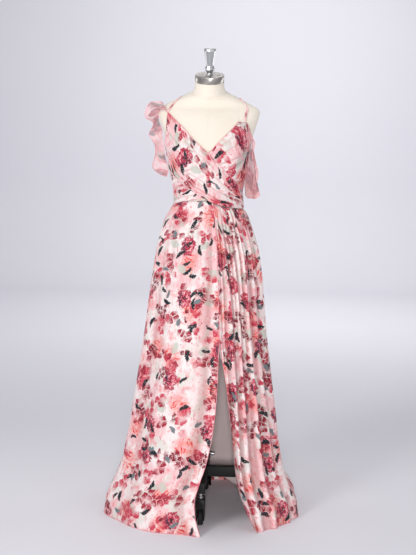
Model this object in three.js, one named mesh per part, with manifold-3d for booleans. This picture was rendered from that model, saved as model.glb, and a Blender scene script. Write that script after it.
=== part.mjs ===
// A floral chiffon maxi dress on a tailor's dress form: a crossed, pleated bodice on thin straps, a flutter
// ruffle on each armhole, and a gathered floor-length skirt with a front slit over a plain lining.
// Millimetres. +X is to the right of someone facing the dress, -Y its front, +Z up, and the floor is z = 0.
// Angles round the figure are in degrees: 0 is the centre front, 90 the viewer's right, 180 the centre back.
import * as THREE from "three";
import { mergeVertices } from "three/addons/utils/BufferGeometryUtils.js";
import Module from "manifold-3d";

const wasm = await Module();
wasm.setup();

// Driving sizes
const CLOTH = 1.4; // wall of the chiffon pieces
const LINING_CLOTH = 1.2;
const WAIST_GAP = 0.4; // from the waist seam to the bodice above it, and to the skirt below it
const SEAM = 0.45; // gap between two cloth pieces that are sewn together
const SLIT_TOP = 655; // height of the top of the front slit
const OVER_OUT = 8.5; // outer face of the bodice's upper layer, from the form
const UNDER_OUT = 3.5; // the same for its lower layer
const OVER_PLEAT = 2.2; // how far the pleats stand out
const UNDER_PLEAT = 1.9;
const STRAP_WIDE = 7;
const STRAP_THICK = 2;
const LEG_TOP = 155; // top of the stand's crossed legs
const LEG_TALL = 37;
const LEG_WIDE = 30;
const LEG_REACH = 216; // from the pole's axis to a leg's end
const CASTER_AT = 197; // from the pole's axis to a caster's stem
const POLE_RADIUS = 15;
const WHEEL_FLAT = 28; // from the axle to the flat of the tread that touches the floor
const WHEEL_SIDES = 20;
const WHEEL_WIDE = 17;
const TRAIL = 16; // from a caster's swivel axis to its axle
const FORM_BOTTOM = 779;
const STAND_TURN = -2.5; // degrees

const MATERIALS = {
  chiffon: new THREE.MeshStandardMaterial({ color: 0xf0b9be, roughness: 0.75 }),
  lining: new THREE.MeshStandardMaterial({ color: 0xcdb6b3, roughness: 0.6 }),
  zip: new THREE.MeshStandardMaterial({ color: 0xe6a9b0, roughness: 0.5 }),
  linen: new THREE.MeshStandardMaterial({ color: 0xf1e9da, roughness: 0.9 }),
  steel: new THREE.MeshStandardMaterial({ color: 0xa7a5a3, roughness: 0.3, metalness: 1 }),
  chrome: new THREE.MeshStandardMaterial({ color: 0xd5d7d8, roughness: 0.12, metalness: 1 }),
  black: new THREE.MeshStandardMaterial({ color: 0x101012, roughness: 0.45, metalness: 0.2 }),
  rubber: new THREE.MeshStandardMaterial({ color: 0x17171a, roughness: 0.8 }),
};

const part = new THREE.Group();

function add(name, geometry, material, at = [0, 0, 0], into = part) {
  const mesh = new THREE.Mesh(geometry, material);
  mesh.name = name;
  mesh.position.set(...at);
  into.add(mesh);
}

const { lerp, clamp, degToRad, radToDeg } = THREE.MathUtils;

// One column of a table at a place along its key column, on a smooth curve that never overshoots its rows.
function read(table, key, column, at) {
  const down = table[1][key] < table[0][key];
  let i = 0;
  while (i < table.length - 2 && (down ? at < table[i + 1][key] : at > table[i + 1][key])) i++;
  const slope = (k) => (table[k + 1][column] - table[k][column]) / (table[k + 1][key] - table[k][key]);
  const mean = (p, q) => (p * q <= 0 ? 0 : (2 * p * q) / (p + q));
  const here = slope(i);
  const from = i > 0 ? mean(slope(i - 1), here) : here;
  const to = i < table.length - 2 ? mean(here, slope(i + 1)) : here;
  const span = table[i + 1][key] - table[i][key];
  const t = clamp((at - table[i][key]) / span, 0, 1);
  const [p, q] = [table[i][column], table[i + 1][column]];
  const rise = t * t * (3 - 2 * t);
  return p + (q - p) * rise + span * (from * t * (1 - t) * (1 - t) - to * t * t * (1 - t));
}

// Evenly spaced numbers from one to another.
function steps(from, to, count) {
  return Array.from({ length: count + 1 }, (_, k) => lerp(from, to, k / count));
}

// A closed geometry from a list of points and triangles, turned face out.
function closed(points, triangles) {
  let volume = 0;
  for (const [a, b, c] of triangles) volume += points[a].dot(points[b].clone().cross(points[c]));
  const order = volume < 0 ? triangles.map(([a, b, c]) => [a, c, b]) : triangles;
  const geometry = new THREE.BufferGeometry();
  geometry.setAttribute("position", new THREE.Float32BufferAttribute(points.flatMap((p) => p.toArray()), 3));
  geometry.setIndex(order.flat());
  return geometry;
}

// A wall of cloth: the outer face is at(u, v) over the given columns and rows, and the inner face lies
// `thick` behind it. A level wall is thickened level, so its hem stays flat. It faces away from `facing`.
function wall(at, us, vs, thick, { level = false, facing = null } = {}) {
  const tiny = 1e-4;
  const square = (u, v) => {
    const along = at(u + tiny, v).sub(at(u - tiny, v));
    const normal = along.cross(at(u, v + tiny).sub(at(u, v - tiny)));
    if (level) normal.z = 0;
    return normal.normalize();
  };
  const [middleU, middleV] = [us[us.length >> 1], vs[vs.length >> 1]];
  const away = at(middleU, middleV).sub(facing ?? new THREE.Vector3(0, 0, at(middleU, middleV).z));
  const side = square(middleU, middleV).dot(away) < 0 ? -1 : 1;
  const [nu, nv] = [us.length, vs.length];
  const outer = vs.flatMap((v) => us.map((u) => at(u, v)));
  const inner = vs.flatMap((v) => us.map((u) => at(u, v).addScaledVector(square(u, v), -side * thick)));
  const points = [...outer, ...inner];
  const triangles = [];
  const quad = (a, b, c, d) => triangles.push([a, b, c], [a, c, d]);
  const under = nu * nv;
  for (let j = 0; j < nv - 1; j++)
    for (let i = 0; i < nu - 1; i++) {
      const k = j * nu + i;
      quad(k, k + 1, k + nu + 1, k + nu);
      quad(under + k, under + k + nu, under + k + nu + 1, under + k + 1);
    }
  const rim = [];
  for (let i = 0; i < nu - 1; i++) rim.push(i);
  for (let j = 0; j < nv - 1; j++) rim.push(j * nu + nu - 1);
  for (let i = nu - 1; i > 0; i--) rim.push((nv - 1) * nu + i);
  for (let j = nv - 1; j > 0; j--) rim.push(j * nu);
  rim.forEach((k, n) => {
    const next = rim[(n + 1) % rim.length];
    quad(k, under + k, under + next, next);
  });
  return closed(points, triangles);
}

// A closed body through rings that all have the same number of points.
function loft(rings) {
  const count = rings[0].length;
  const points = rings.flat();
  const middle = (ring) => ring.reduce((sum, p) => sum.add(p), new THREE.Vector3()).divideScalar(count);
  const triangles = [];
  for (let j = 0; j < rings.length - 1; j++)
    for (let i = 0; i < count; i++) {
      const [a, b] = [j * count + i, j * count + ((i + 1) % count)];
      triangles.push([a, b, b + count], [a, b + count, a + count]);
    }
  const last = (rings.length - 1) * count;
  const [low, high] = [points.length, points.length + 1];
  points.push(middle(rings[0]), middle(rings[rings.length - 1]));
  for (let i = 0; i < count; i++) {
    const next = (i + 1) % count;
    triangles.push([low, next, i], [high, last + i, last + next]);
  }
  return closed(points, triangles);
}

// Joins and cuts closed geometries.
function solid(geometry) {
  const bare = geometry.index ? geometry.toNonIndexed() : geometry.clone();
  for (const name of ["normal", "uv"]) bare.deleteAttribute(name);
  const merged = mergeVertices(bare, 1e-4);
  return new wasm.Manifold(
    new wasm.Mesh({
      numProp: 3,
      vertProperties: merged.attributes.position.array,
      triVerts: new Uint32Array(merged.index.array),
    }),
  );
}

function geometryOf(manifold) {
  const mesh = manifold.getMesh();
  const geometry = new THREE.BufferGeometry();
  geometry.setAttribute("position", new THREE.BufferAttribute(new Float32Array(mesh.vertProperties), 3));
  geometry.setIndex(new THREE.BufferAttribute(new Uint32Array(mesh.triVerts), 1));
  return geometry;
}

const box = (x, y, z, at = [0, 0, 0]) => new THREE.BoxGeometry(x, y, z).translate(...at);

// An upright cylinder standing on z = low.
const post = (radius, low, high, sides) =>
  new THREE.CylinderGeometry(radius, radius, high - low, sides)
    .rotateX(Math.PI / 2)
    .translate(0, 0, (low + high) / 2);

// The dress form. Each row is a level section: half its width, its depth in front of and behind the pole's
// axis, how far the bust stands out, and how far the section leans forward towards the neck, in degrees.
const FORM = [
  { z: 779, half: 149, front: 91, back: 107, bust: 0, lean: 0 },
  { z: 820, half: 157, front: 97, back: 115, bust: 0, lean: 0 },
  { z: 890, half: 161, front: 103, back: 123, bust: 0, lean: 0 },
  { z: 959, half: 150, front: 99, back: 117, bust: 0, lean: 0 },
  { z: 1019, half: 130, front: 91, back: 101, bust: 0, lean: 0 },
  { z: 1068, half: 116, front: 84, back: 88, bust: 0, lean: 0 },
  { z: 1097, half: 112.5, front: 81, back: 84, bust: 0, lean: 0 },
  { z: 1137, half: 117, front: 82, back: 87, bust: 0, lean: 0 },
  { z: 1156, half: 120, front: 85, back: 90, bust: 2, lean: 0 },
  { z: 1176, half: 124.5, front: 88, back: 93, bust: 6, lean: 0 },
  { z: 1215, half: 130, front: 94, back: 97, bust: 18, lean: 0 },
  { z: 1239, half: 133, front: 97, back: 99, bust: 22, lean: 0 },
  { z: 1264, half: 138, front: 98, back: 100, bust: 20, lean: 0 },
  { z: 1293, half: 146, front: 94, back: 99, bust: 10, lean: 0 },
  { z: 1322, half: 153, front: 86, back: 96, bust: 3, lean: 0 },
  { z: 1351, half: 163, front: 75, back: 90, bust: 0, lean: 0 },
  { z: 1380, half: 171, front: 60, back: 78, bust: 0, lean: 0 },
  { z: 1394, half: 173, front: 50, back: 67, bust: 0, lean: 0 },
  { z: 1405, half: 166, front: 42, back: 58, bust: 0, lean: 3 },
  { z: 1418, half: 144, front: 37, back: 55, bust: 0, lean: 7 },
  { z: 1433, half: 115, front: 36, back: 53, bust: 0, lean: 12 },
  { z: 1447, half: 84, front: 40, back: 53, bust: 0, lean: 17 },
];
const BUST_ANGLE = 34; // where each side of the bust is fullest
const BUST_SPREAD = 20;
const NECK = [
  { z: 1458.5, half: 58.5, deep: 48.5, y: 4, lean: 21 },
  { z: 1470, half: 52.5, deep: 47.5, y: 1, lean: 19 },
  { z: 1483.5, half: 50, deep: 47.5, y: -2, lean: 16.5 },
  { z: 1494.5, half: 49.5, deep: 48.5, y: -3.9, lean: 15.5 },
];

// A point at this angle and height, `out` millimetres proud of the form.
function onForm(angle, height, out = 0) {
  const [s, c] = [Math.sin(degToRad(angle)), Math.cos(degToRad(angle))];
  const turn = ((((angle + 180) % 360) + 360) % 360) - 180;
  const swell = (centre) => Math.exp(-(((turn - centre) / BUST_SPREAD) ** 2));
  const bust = read(FORM, "z", "bust", height) * (swell(BUST_ANGLE) + swell(-BUST_ANGLE));
  const x = (read(FORM, "z", "half", height) + bust + out) * s;
  const y = -(read(FORM, "z", c > 0 ? "front" : "back", height) + bust + out) * c;
  return new THREE.Vector3(x, y, height + y * Math.tan(degToRad(read(FORM, "z", "lean", height))));
}

const formSides = 24;
const around = steps(0, 360, formSides).slice(0, -1);
const neckRing = ({ z, half, deep, y, lean }) =>
  around.map((angle) => {
    const [s, c] = [Math.sin(degToRad(angle)), Math.cos(degToRad(angle))];
    return new THREE.Vector3(half * s, y - deep * c, z - deep * c * Math.tan(degToRad(lean)));
  });
const torso = loft([...FORM.map(({ z }) => around.map((angle) => onForm(angle, z))), ...NECK.map(neckRing)]);
add("form_torso", torso, MATERIALS.linen);

// The neck cap: a turned metal disc with two spanner holes, and the faceted knob that stands on it.
const CAP = { radius: 49.5, tall: 23, holeAt: 30, holeRadius: 6, lean: 15.5, y: -3.9, z: 1495.1 };
const capShape = new THREE.Shape();
capShape.absarc(0, 0, CAP.radius, 0, 2 * Math.PI);
for (const side of [-1, 1]) {
  const hole = new THREE.Path();
  hole.absarc(side * CAP.holeAt, side * -4, CAP.holeRadius, 0, 2 * Math.PI, true);
  capShape.holes.push(hole);
}
const neckTop = new THREE.Group();
neckTop.position.set(0, CAP.y, CAP.z);
neckTop.rotation.x = degToRad(CAP.lean);
part.add(neckTop);
const cap = new THREE.ExtrudeGeometry(capShape, { depth: CAP.tall, bevelEnabled: false, curveSegments: 10 });
add("form_neck_cap", cap, MATERIALS.steel, [0, 0, 0], neckTop);
const KNOB = [
  { up: 0, radius: 12.5 },
  { up: 4, radius: 9 },
  { up: 9, radius: 9.5 },
  { up: 14.5, radius: 15.5 },
  { up: 20, radius: 17 },
  { up: 26, radius: 14.5 },
  { up: 31, radius: 12 },
  { up: 82, radius: 20.5 },
  { up: 89, radius: 18.5 },
  { up: 91, radius: 13.5 },
];
const KNOB_SIDES = 8;
const knob = loft(
  KNOB.map(({ up, radius }) =>
    steps(0, 2 * Math.PI, KNOB_SIDES)
      .slice(0, -1)
      .map((turn) => new THREE.Vector3(radius * Math.sin(turn), -radius * Math.cos(turn), up)),
  ),
);
add("form_finial", knob, MATERIALS.chrome, [0, 0, CAP.tall + 0.3], neckTop);

// The stand, turned a little on its casters: a black steel pole with a clamp collar and its knob, on a cross
// of box-section legs.
const stand = new THREE.Group();
stand.rotation.z = degToRad(STAND_TURN);
part.add(stand);
const pole = post(POLE_RADIUS, LEG_TOP + 0.3, FORM_BOTTOM - 0.3, 20);
add("stand_pole", pole, MATERIALS.black, [0, 0, 0], stand);
const COLLAR = { low: 186, high: 214, radius: 21 };
const collarRing = new THREE.LatheGeometry(
  [
    new THREE.Vector2(POLE_RADIUS + 0.3, COLLAR.low),
    new THREE.Vector2(COLLAR.radius, COLLAR.low),
    new THREE.Vector2(COLLAR.radius, COLLAR.high),
    new THREE.Vector2(POLE_RADIUS + 0.3, COLLAR.high),
    new THREE.Vector2(POLE_RADIUS + 0.3, COLLAR.low),
  ],
  20,
).rotateX(Math.PI / 2);
add("stand_collar", collarRing, MATERIALS.black, [0, 0, 0], stand);
const knobLength = 16;
const clampKnob = new THREE.CylinderGeometry(8, 8, knobLength, 10).rotateZ(Math.PI / 2);
const knobAt = [COLLAR.radius + 0.3 + knobLength / 2, -3, (COLLAR.low + COLLAR.high) / 2];
add("stand_clamp_knob", clampKnob, MATERIALS.chrome, knobAt, stand);
const legMiddle = LEG_TOP - LEG_TALL / 2;
add("stand_leg_cross", box(2 * LEG_REACH, LEG_WIDE, LEG_TALL), MATERIALS.black, [0, 0, legMiddle], stand);
const halfLeg = LEG_REACH - LEG_WIDE / 2 - 0.3;
for (const [name, side] of [["front", -1], ["back", 1]]) {
  const middle = side * (LEG_WIDE / 2 + 0.3 + halfLeg / 2);
  add(`stand_leg_${name}`, box(LEG_WIDE, halfLeg, LEG_TALL), MATERIALS.black, [0, middle, legMiddle], stand);
}
const boltHead = new THREE.CylinderGeometry(6, 6, 7, 6).rotateZ(Math.PI / 2);
add("stand_leg_bolt", boltHead, MATERIALS.black, [LEG_WIDE / 2 + 0.3 + 3.5, -92, legMiddle - 6], stand);

// The casters. Each has a plated stem fixed in the leg, a hood that swivels on it, and a wheel on the
// hood's axle.
const legBottom = LEG_TOP - LEG_TALL;
const HOOD = { top: 98, mouth: 64, low: 24, half: 14.5, cheek: 4.2, behind: 20, ahead: 42, axle: 3.5 };
const hoodShape = new THREE.Shape();
hoodShape.moveTo(-HOOD.half, HOOD.low);
hoodShape.lineTo(-HOOD.half, HOOD.top - 6);
hoodShape.lineTo(-HOOD.half + 6, HOOD.top);
hoodShape.lineTo(HOOD.half - 6, HOOD.top);
hoodShape.lineTo(HOOD.half, HOOD.top - 6);
hoodShape.lineTo(HOOD.half, HOOD.low);
hoodShape.lineTo(HOOD.half - HOOD.cheek, HOOD.low);
hoodShape.lineTo(HOOD.half - HOOD.cheek, HOOD.mouth);
hoodShape.lineTo(-HOOD.half + HOOD.cheek, HOOD.mouth);
hoodShape.lineTo(-HOOD.half + HOOD.cheek, HOOD.low);
const hoodLength = HOOD.ahead + HOOD.behind;
const hoodBody = new THREE.ExtrudeGeometry(hoodShape, { depth: hoodLength, bevelEnabled: false })
  .rotateX(Math.PI / 2)
  .translate(0, HOOD.ahead, 0);
const axlePin = new THREE.CylinderGeometry(HOOD.axle, HOOD.axle, 2 * HOOD.half - 2, 12)
  .rotateZ(Math.PI / 2)
  .translate(0, TRAIL, WHEEL_FLAT);
const hood = geometryOf(solid(hoodBody).add(solid(axlePin)));
const wheelRadius = WHEEL_FLAT / Math.cos(Math.PI / WHEEL_SIDES);
const hubHalf = HOOD.half - HOOD.cheek - 0.35;
const bore = HOOD.axle + 0.35;
const wheel = new THREE.LatheGeometry(
  [
    [bore, -hubHalf],
    [9, -hubHalf],
    [wheelRadius - 2, -WHEEL_WIDE / 2],
    [wheelRadius, -WHEEL_WIDE / 2 + 3],
    [wheelRadius, WHEEL_WIDE / 2 - 3],
    [wheelRadius - 2, WHEEL_WIDE / 2],
    [9, hubHalf],
    [bore, hubHalf],
    [bore, -hubHalf],
  ].map(([r, along]) => new THREE.Vector2(r, along)),
  WHEEL_SIDES,
)
  .rotateY(Math.PI / WHEEL_SIDES)
  .rotateZ(Math.PI / 2);
const stem = new THREE.LatheGeometry(
  [
    [0, HOOD.top + 0.3],
    [10, HOOD.top + 0.3],
    [10, HOOD.top + 6],
    [6, HOOD.top + 7],
    [6, HOOD.top + 12],
    [9, HOOD.top + 13],
    [9, legBottom - 0.3],
    [0, legBottom - 0.3],
  ].map(([r, up]) => new THREE.Vector2(r, up)),
  12,
).rotateX(Math.PI / 2);
const CASTERS = [
  { name: "front", turn: 180, x: 0, y: -CASTER_AT },
  { name: "right", turn: 60, x: CASTER_AT, y: 0 },
  { name: "back", turn: 200, x: 0, y: CASTER_AT },
  { name: "left", turn: -70, x: -CASTER_AT, y: 0 },
];
for (const { name, turn, x, y } of CASTERS) {
  const caster = new THREE.Group();
  caster.position.set(x, y, 0);
  caster.rotation.z = degToRad(turn + 180);
  stand.add(caster);
  add(`caster_${name}_stem`, stem, MATERIALS.chrome, [0, 0, 0], caster);
  add(`caster_${name}_hood`, hood, MATERIALS.black, [0, 0, 0], caster);
  add(`caster_${name}_wheel`, wheel, MATERIALS.rubber, [0, TRAIL, WHEEL_FLAT], caster);
}

// The seam at the waist, where the skirt is sewn on. It rises under the crossing at the front.
const WAIST = [
  { angle: -180, z: 1068 },
  { angle: -90, z: 1074 },
  { angle: -45, z: 1090 },
  { angle: -5, z: 1097 },
  { angle: 18, z: 1080 },
  { angle: 50, z: 1070 },
  { angle: 90, z: 1064 },
  { angle: 180, z: 1068 },
];
function waistAt(angle) {
  const turn = ((((angle + 180) % 360) + 360) % 360) - 180;
  return read(WAIST, "angle", "z", turn);
}

// The front of the bodice is two pieces that cross. Each runs from a shoulder and its side seam, at s = 0, to
// the waist of the other side, at s = 1. Its neck edge is t = 0, its lower edge t = 1, and the pleats run
// along it.
const OVER = {
  neck: [
    { s: 0, angle: -50, z: 1392 },
    { s: 0.2, angle: -32, z: 1342 },
    { s: 0.38, angle: -17, z: 1296 },
    { s: 0.55, angle: 0, z: 1254 },
    { s: 0.78, angle: 29, z: 1184 },
    { s: 1, angle: 90, z: 1101 },
  ],
  low: [
    { s: 0, angle: -90, z: 1207 },
    { s: 0.2, angle: -56, z: 1169 },
    { s: 0.38, angle: -36, z: 1140 },
    { s: 0.55, angle: -10, z: 1107 },
    { s: 0.78, angle: 22, z: 1079 },
    { s: 1, angle: 90, z: 1064 },
  ],
  start: [
    { t: 0, angle: -50, z: 1392 },
    { t: 0.3, angle: -58, z: 1339 },
    { t: 0.5, angle: -72, z: 1298 },
    { t: 0.68, angle: -89.7, z: 1264 },
    { t: 1, angle: -90, z: 1207 },
  ],
  end: [
    { t: 0, angle: 90, z: 1101 },
    { t: 1, angle: 90, z: 1064 },
  ],
  pleats: 5,
};
const UNDER = {
  neck: [
    { s: 0, angle: 36, z: 1361 },
    { s: 0.2, angle: 26, z: 1328 },
    { s: 0.38, angle: 13, z: 1294 },
    { s: 0.55, angle: 0, z: 1257 },
    { s: 0.78, angle: -30, z: 1229 },
    { s: 1, angle: -90, z: 1220 },
  ],
  low: [
    { s: 0, angle: 90, z: 1080 },
    { s: 0.2, angle: 62, z: 1084 },
    { s: 0.38, angle: 32, z: 1092 },
    { s: 0.55, angle: -2, z: 1102 },
    { s: 0.78, angle: -45, z: 1090 },
    { s: 1, angle: -90, z: 1074 },
  ],
  start: [
    { t: 0, angle: 36, z: 1361 },
    { t: 0.08, angle: 47, z: 1359 },
    { t: 0.25, angle: 62, z: 1324 },
    { t: 0.4, angle: 77, z: 1291 },
    { t: 0.52, angle: 89.7, z: 1264 },
    { t: 1, angle: 90, z: 1080 },
  ],
  end: [
    { t: 0, angle: -90, z: 1220 },
    { t: 1, angle: -90, z: 1074 },
  ],
  pleats: 4,
};

// A place on a crossing piece, blended from its four edges.
function across(piece, s, t, column) {
  const [neck, low] = [read(piece.neck, "s", column, s), read(piece.low, "s", column, s)];
  const [start, end] = [read(piece.start, "t", column, t), read(piece.end, "t", column, t)];
  const corners = lerp(
    lerp(piece.neck[0][column], piece.neck.at(-1)[column], s),
    lerp(piece.low[0][column], piece.low.at(-1)[column], s),
    t,
  );
  return lerp(neck, low, t) + lerp(start, end, s) - corners;
}

function bodicePoint(piece, out, pleat, s, t) {
  const ripple = (1 - Math.cos(2 * Math.PI * piece.pleats * clamp(t, 0, 1))) / 2;
  const soft = 0.35 + 0.65 * Math.sin(Math.PI * clamp(0.15 + 0.7 * s, 0, 1));
  const angle = across(piece, s, t, "angle");
  const z = Math.max(across(piece, s, t, "z"), waistAt(angle) + WAIST_GAP);
  return onForm(angle, z, out + pleat * ripple * soft);
}
for (const [name, piece, out, pleat] of [
  ["bodice_front_over", OVER, OVER_OUT, OVER_PLEAT],
  ["bodice_front_under", UNDER, UNDER_OUT, UNDER_PLEAT],
]) {
  const at = (s, t) => bodicePoint(piece, out, pleat, s, t);
  add(name, wall(at, steps(0, 1, 18), steps(0, 1, 4 * piece.pleats), CLOTH), MATERIALS.chiffon);
}

// The back of the bodice: two plain halves from the side seams to the zip.
const BACK_TOP_SIDE = 1264;
const BACK_TOP_ZIP = 1236;
const ZIP_HALF = 2.2; // half the width of the zip
const sideSeam = 90 + radToDeg(SEAM / 84);
const zipEdge = 180 - radToDeg((ZIP_HALF + SEAM) / 111);
for (const [name, side] of [["left", -1], ["right", 1]]) {
  const at = (p, q) => {
    const angle = side * lerp(sideSeam, zipEdge, p);
    const top = lerp(BACK_TOP_SIDE, BACK_TOP_ZIP, Math.sin((Math.PI / 2) * clamp(p, 0, 1)));
    const puff = 0.6 * Math.sin(4 * Math.PI * q) ** 2;
    return onForm(angle, lerp(top, waistAt(angle) + WAIST_GAP, q), UNDER_OUT + puff);
  };
  add(`bodice_back_${name}`, wall(at, steps(0, 1, 10), steps(0, 1, 8), CLOTH), MATERIALS.chiffon);
}

// The straps: flat rouleaux from the top of each front, over the shoulder, crossing on the back. A path has
// an angle and a height on the form, and how far the strap's inner face stands off it.
const STRAPS = {
  left: [
    { k: 0, angle: -50, z: 1392.4, out: 7.3 },
    { k: 1, angle: -52, z: 1407, out: 2 },
    { k: 2, angle: -66, z: 1428, out: 0.8 },
    { k: 3, angle: -90, z: 1442, out: 1.3 },
    { k: 4, angle: -118, z: 1434, out: 0.9 },
    { k: 5, angle: -138, z: 1404, out: 0.8 },
    { k: 6, angle: -152, z: 1360, out: 0.8 },
    { k: 7, angle: -168, z: 1312, out: 0.8 },
    { k: 8, angle: -180, z: 1289, out: 0.8 },
    { k: 9, angle: -194, z: 1269, out: 0.9 },
    { k: 10, angle: -208, z: 1248, out: 1.6 },
  ],
  right: [
    { k: 0, angle: 46, z: 1359.6, out: 2.4 },
    { k: 1, angle: 46, z: 1386, out: 0.9 },
    { k: 2, angle: 57, z: 1416, out: 1.4 },
    { k: 3, angle: 90, z: 1438, out: 1.8 },
    { k: 4, angle: 118, z: 1431, out: 0.9 },
    { k: 5, angle: 138, z: 1402, out: 0.8 },
    { k: 6, angle: 152, z: 1360, out: 0.8 },
    { k: 7, angle: 168, z: 1312, out: 2 },
    { k: 8, angle: 180, z: 1289, out: 3.3 },
    { k: 9, angle: 194, z: 1269, out: 1.6 },
    { k: 10, angle: 208, z: 1248, out: 1.6 },
  ],
};
function strap(path) {
  const last = path.at(-1).k;
  const place = (k, more = 0) =>
    onForm(read(path, "k", "angle", k), read(path, "k", "z", k), read(path, "k", "out", k) + more);
  const rings = steps(0, last, 40).map((k) => {
    const [before, after] = [Math.max(k - 0.02, 0), Math.min(k + 0.02, last)];
    const tangent = place(after).sub(place(before)).normalize();
    const [angle, z] = [read(path, "k", "angle", k), read(path, "k", "z", k)];
    const round = onForm(angle + 0.5, z).sub(onForm(angle - 0.5, z));
    const rise = onForm(angle, z + 0.5).sub(onForm(angle, z - 0.5));
    const normal = round.cross(rise).normalize();
    const wide = tangent.clone().cross(normal).normalize();
    const out = wide.clone().cross(tangent).normalize();
    const corner = (w, o) => place(k).addScaledVector(wide, w).addScaledVector(out, o);
    const half = STRAP_WIDE / 2;
    return [corner(-half, 0), corner(half, 0), corner(half, STRAP_THICK), corner(-half, STRAP_THICK)];
  });
  return loft(rings);
}
add("strap_left", strap(STRAPS.left), MATERIALS.chiffon);
add("strap_right", strap(STRAPS.right), MATERIALS.chiffon);

// The ruffles: gathered strips sewn to the armholes. The left one goes out over the shoulder and down the arm
// side, and the right one has dropped off the shoulder and hangs. A row has a point of the sewn edge, the
// direction in which the strip leaves it, and its width there.
const RUFFLES = {
  left: {
    rows: [
      { s: 0, x: -141.6, y: -38, z: 1388, dx: -0.35, dy: 0.1, dz: 0.93, wide: 15 },
      { s: 0.1, x: -149, y: -38, z: 1396, dx: -0.3, dy: 0.2, dz: 0.93, wide: 26.3 },
      { s: 0.22, x: -163.6, y: -33.1, z: 1397, dx: -0.75, dy: 0.1, dz: 0.6, wide: 37 },
      { s: 0.34, x: -179.2, y: -15.6, z: 1389, dx: -0.98, dy: 0, dz: -0.1, wide: 37 },
      { s: 0.46, x: -179.3, y: 3.9, z: 1366, dx: -0.75, dy: 0.2, dz: -0.6, wide: 35.1 },
      { s: 0.6, x: -168.8, y: 2.9, z: 1327, dx: -0.85, dy: 0.25, dz: -0.35, wide: 42.9 },
      { s: 0.74, x: -157.3, y: 0, z: 1283, dx: -0.7, dy: 0.3, dz: -0.65, wide: 33 },
      { s: 0.88, x: -147, y: -1, z: 1238, dx: -0.8, dy: 0.2, dz: -0.55, wide: 56.7 },
      { s: 1, x: -136.6, y: 0, z: 1197, dx: -0.2, dy: 0.2, dz: -0.9, wide: 27.4 },
    ],
    flutes: 5,
    swing: 9,
  },
  right: {
    rows: [
      { s: 0, x: 130.1, y: -52.2, z: 1355, dx: 0.2, dy: -0.3, dz: -0.93, wide: 11.7 },
      { s: 0.12, x: 138.9, y: -48.4, z: 1336, dx: 0.2, dy: -0.25, dz: -0.95, wide: 33.2 },
      { s: 0.28, x: 146.2, y: -35.8, z: 1309, dx: 0.13, dy: -0.13, dz: -0.97, wide: 80 },
      { s: 0.45, x: 148, y: -14.6, z: 1279, dx: 0.16, dy: -0.1, dz: -0.98, wide: 135.8 },
      { s: 0.62, x: 144.9, y: 9.3, z: 1266, dx: 0.13, dy: -0.04, dz: -0.99, wide: 166.2 },
      { s: 0.8, x: 134.1, y: 39.9, z: 1264, dx: 0.06, dy: 0.04, dz: -0.99, wide: 165.2 },
      { s: 1, x: 107.5, y: 69.9, z: 1261, dx: 0.05, dy: 0.2, dz: -0.97, wide: 97.8 },
    ],
    flutes: 5,
    swing: 7,
  },
};
function rufflePoint({ rows, flutes, swing }, s, t) {
  const row = (column, at = s) => read(rows, "s", column, at);
  const edge = (at) => new THREE.Vector3(row("x", at), row("y", at), row("z", at));
  const along = edge(Math.min(s + 0.01, 1)).sub(edge(Math.max(s - 0.01, 0))).normalize();
  const leave = new THREE.Vector3(row("dx"), row("dy"), row("dz")).normalize();
  const lift = along.cross(leave).normalize();
  const wave = Math.sin(2 * Math.PI * flutes * s) * swing * Math.min(row("wide") / 40, 1);
  return edge(s).addScaledVector(leave, t * row("wide")).addScaledVector(lift, wave * clamp(t, 0, 1) ** 1.3);
}
for (const [name, ruffle] of Object.entries(RUFFLES))
  add(
    `ruffle_${name}`,
    wall((s, t) => rufflePoint(ruffle, s, t), steps(0, 1, 36), steps(0, 1, 4), LINING_CLOTH),
    MATERIALS.chiffon,
  );

// The skirt. A row is a level section between its folds: its reach to each side, in front and behind.
const SKIRT = [
  { z: 1102, left: 122, right: 123.5, front: 89, back: 92 },
  { z: 1068, left: 127, right: 127.5, front: 93, back: 96 },
  { z: 1038, left: 142, right: 140, front: 102, back: 107 },
  { z: 1009, left: 153, right: 151, front: 111, back: 119 },
  { z: 959, left: 167, right: 168, front: 125, back: 138 },
  { z: 906, left: 176, right: 182, front: 138, back: 150 },
  { z: 818, left: 188, right: 194, front: 157, back: 169 },
  { z: 639, left: 208, right: 212, front: 189, back: 204 },
  { z: 410, left: 242, right: 243, front: 223, back: 241 },
  { z: 194, left: 280, right: 273, front: 252, back: 276 },
  { z: 122, left: 307, right: 294, front: 265, back: 295 },
  { z: 63, left: 334, right: 327, front: 284, back: 318 },
  { z: 0, left: 344, right: 337, front: 301, back: 336 },
];
// How deep the folds are: the close gathers from the waist, and the broad folds they run into.
const FOLDS = [
  { z: 1102, gather: 0.8, broad: 0 },
  { z: 1068, gather: 1.3, broad: 0 },
  { z: 1019, gather: 2.8, broad: 0.8 },
  { z: 906, gather: 4.6, broad: 2.6 },
  { z: 639, gather: 3.8, broad: 6.5 },
  { z: 410, gather: 2.4, broad: 8.5 },
  { z: 194, gather: 1.6, broad: 9 },
  { z: 63, gather: 1.2, broad: 8 },
  { z: 0, gather: 1, broad: 7 },
];
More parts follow.
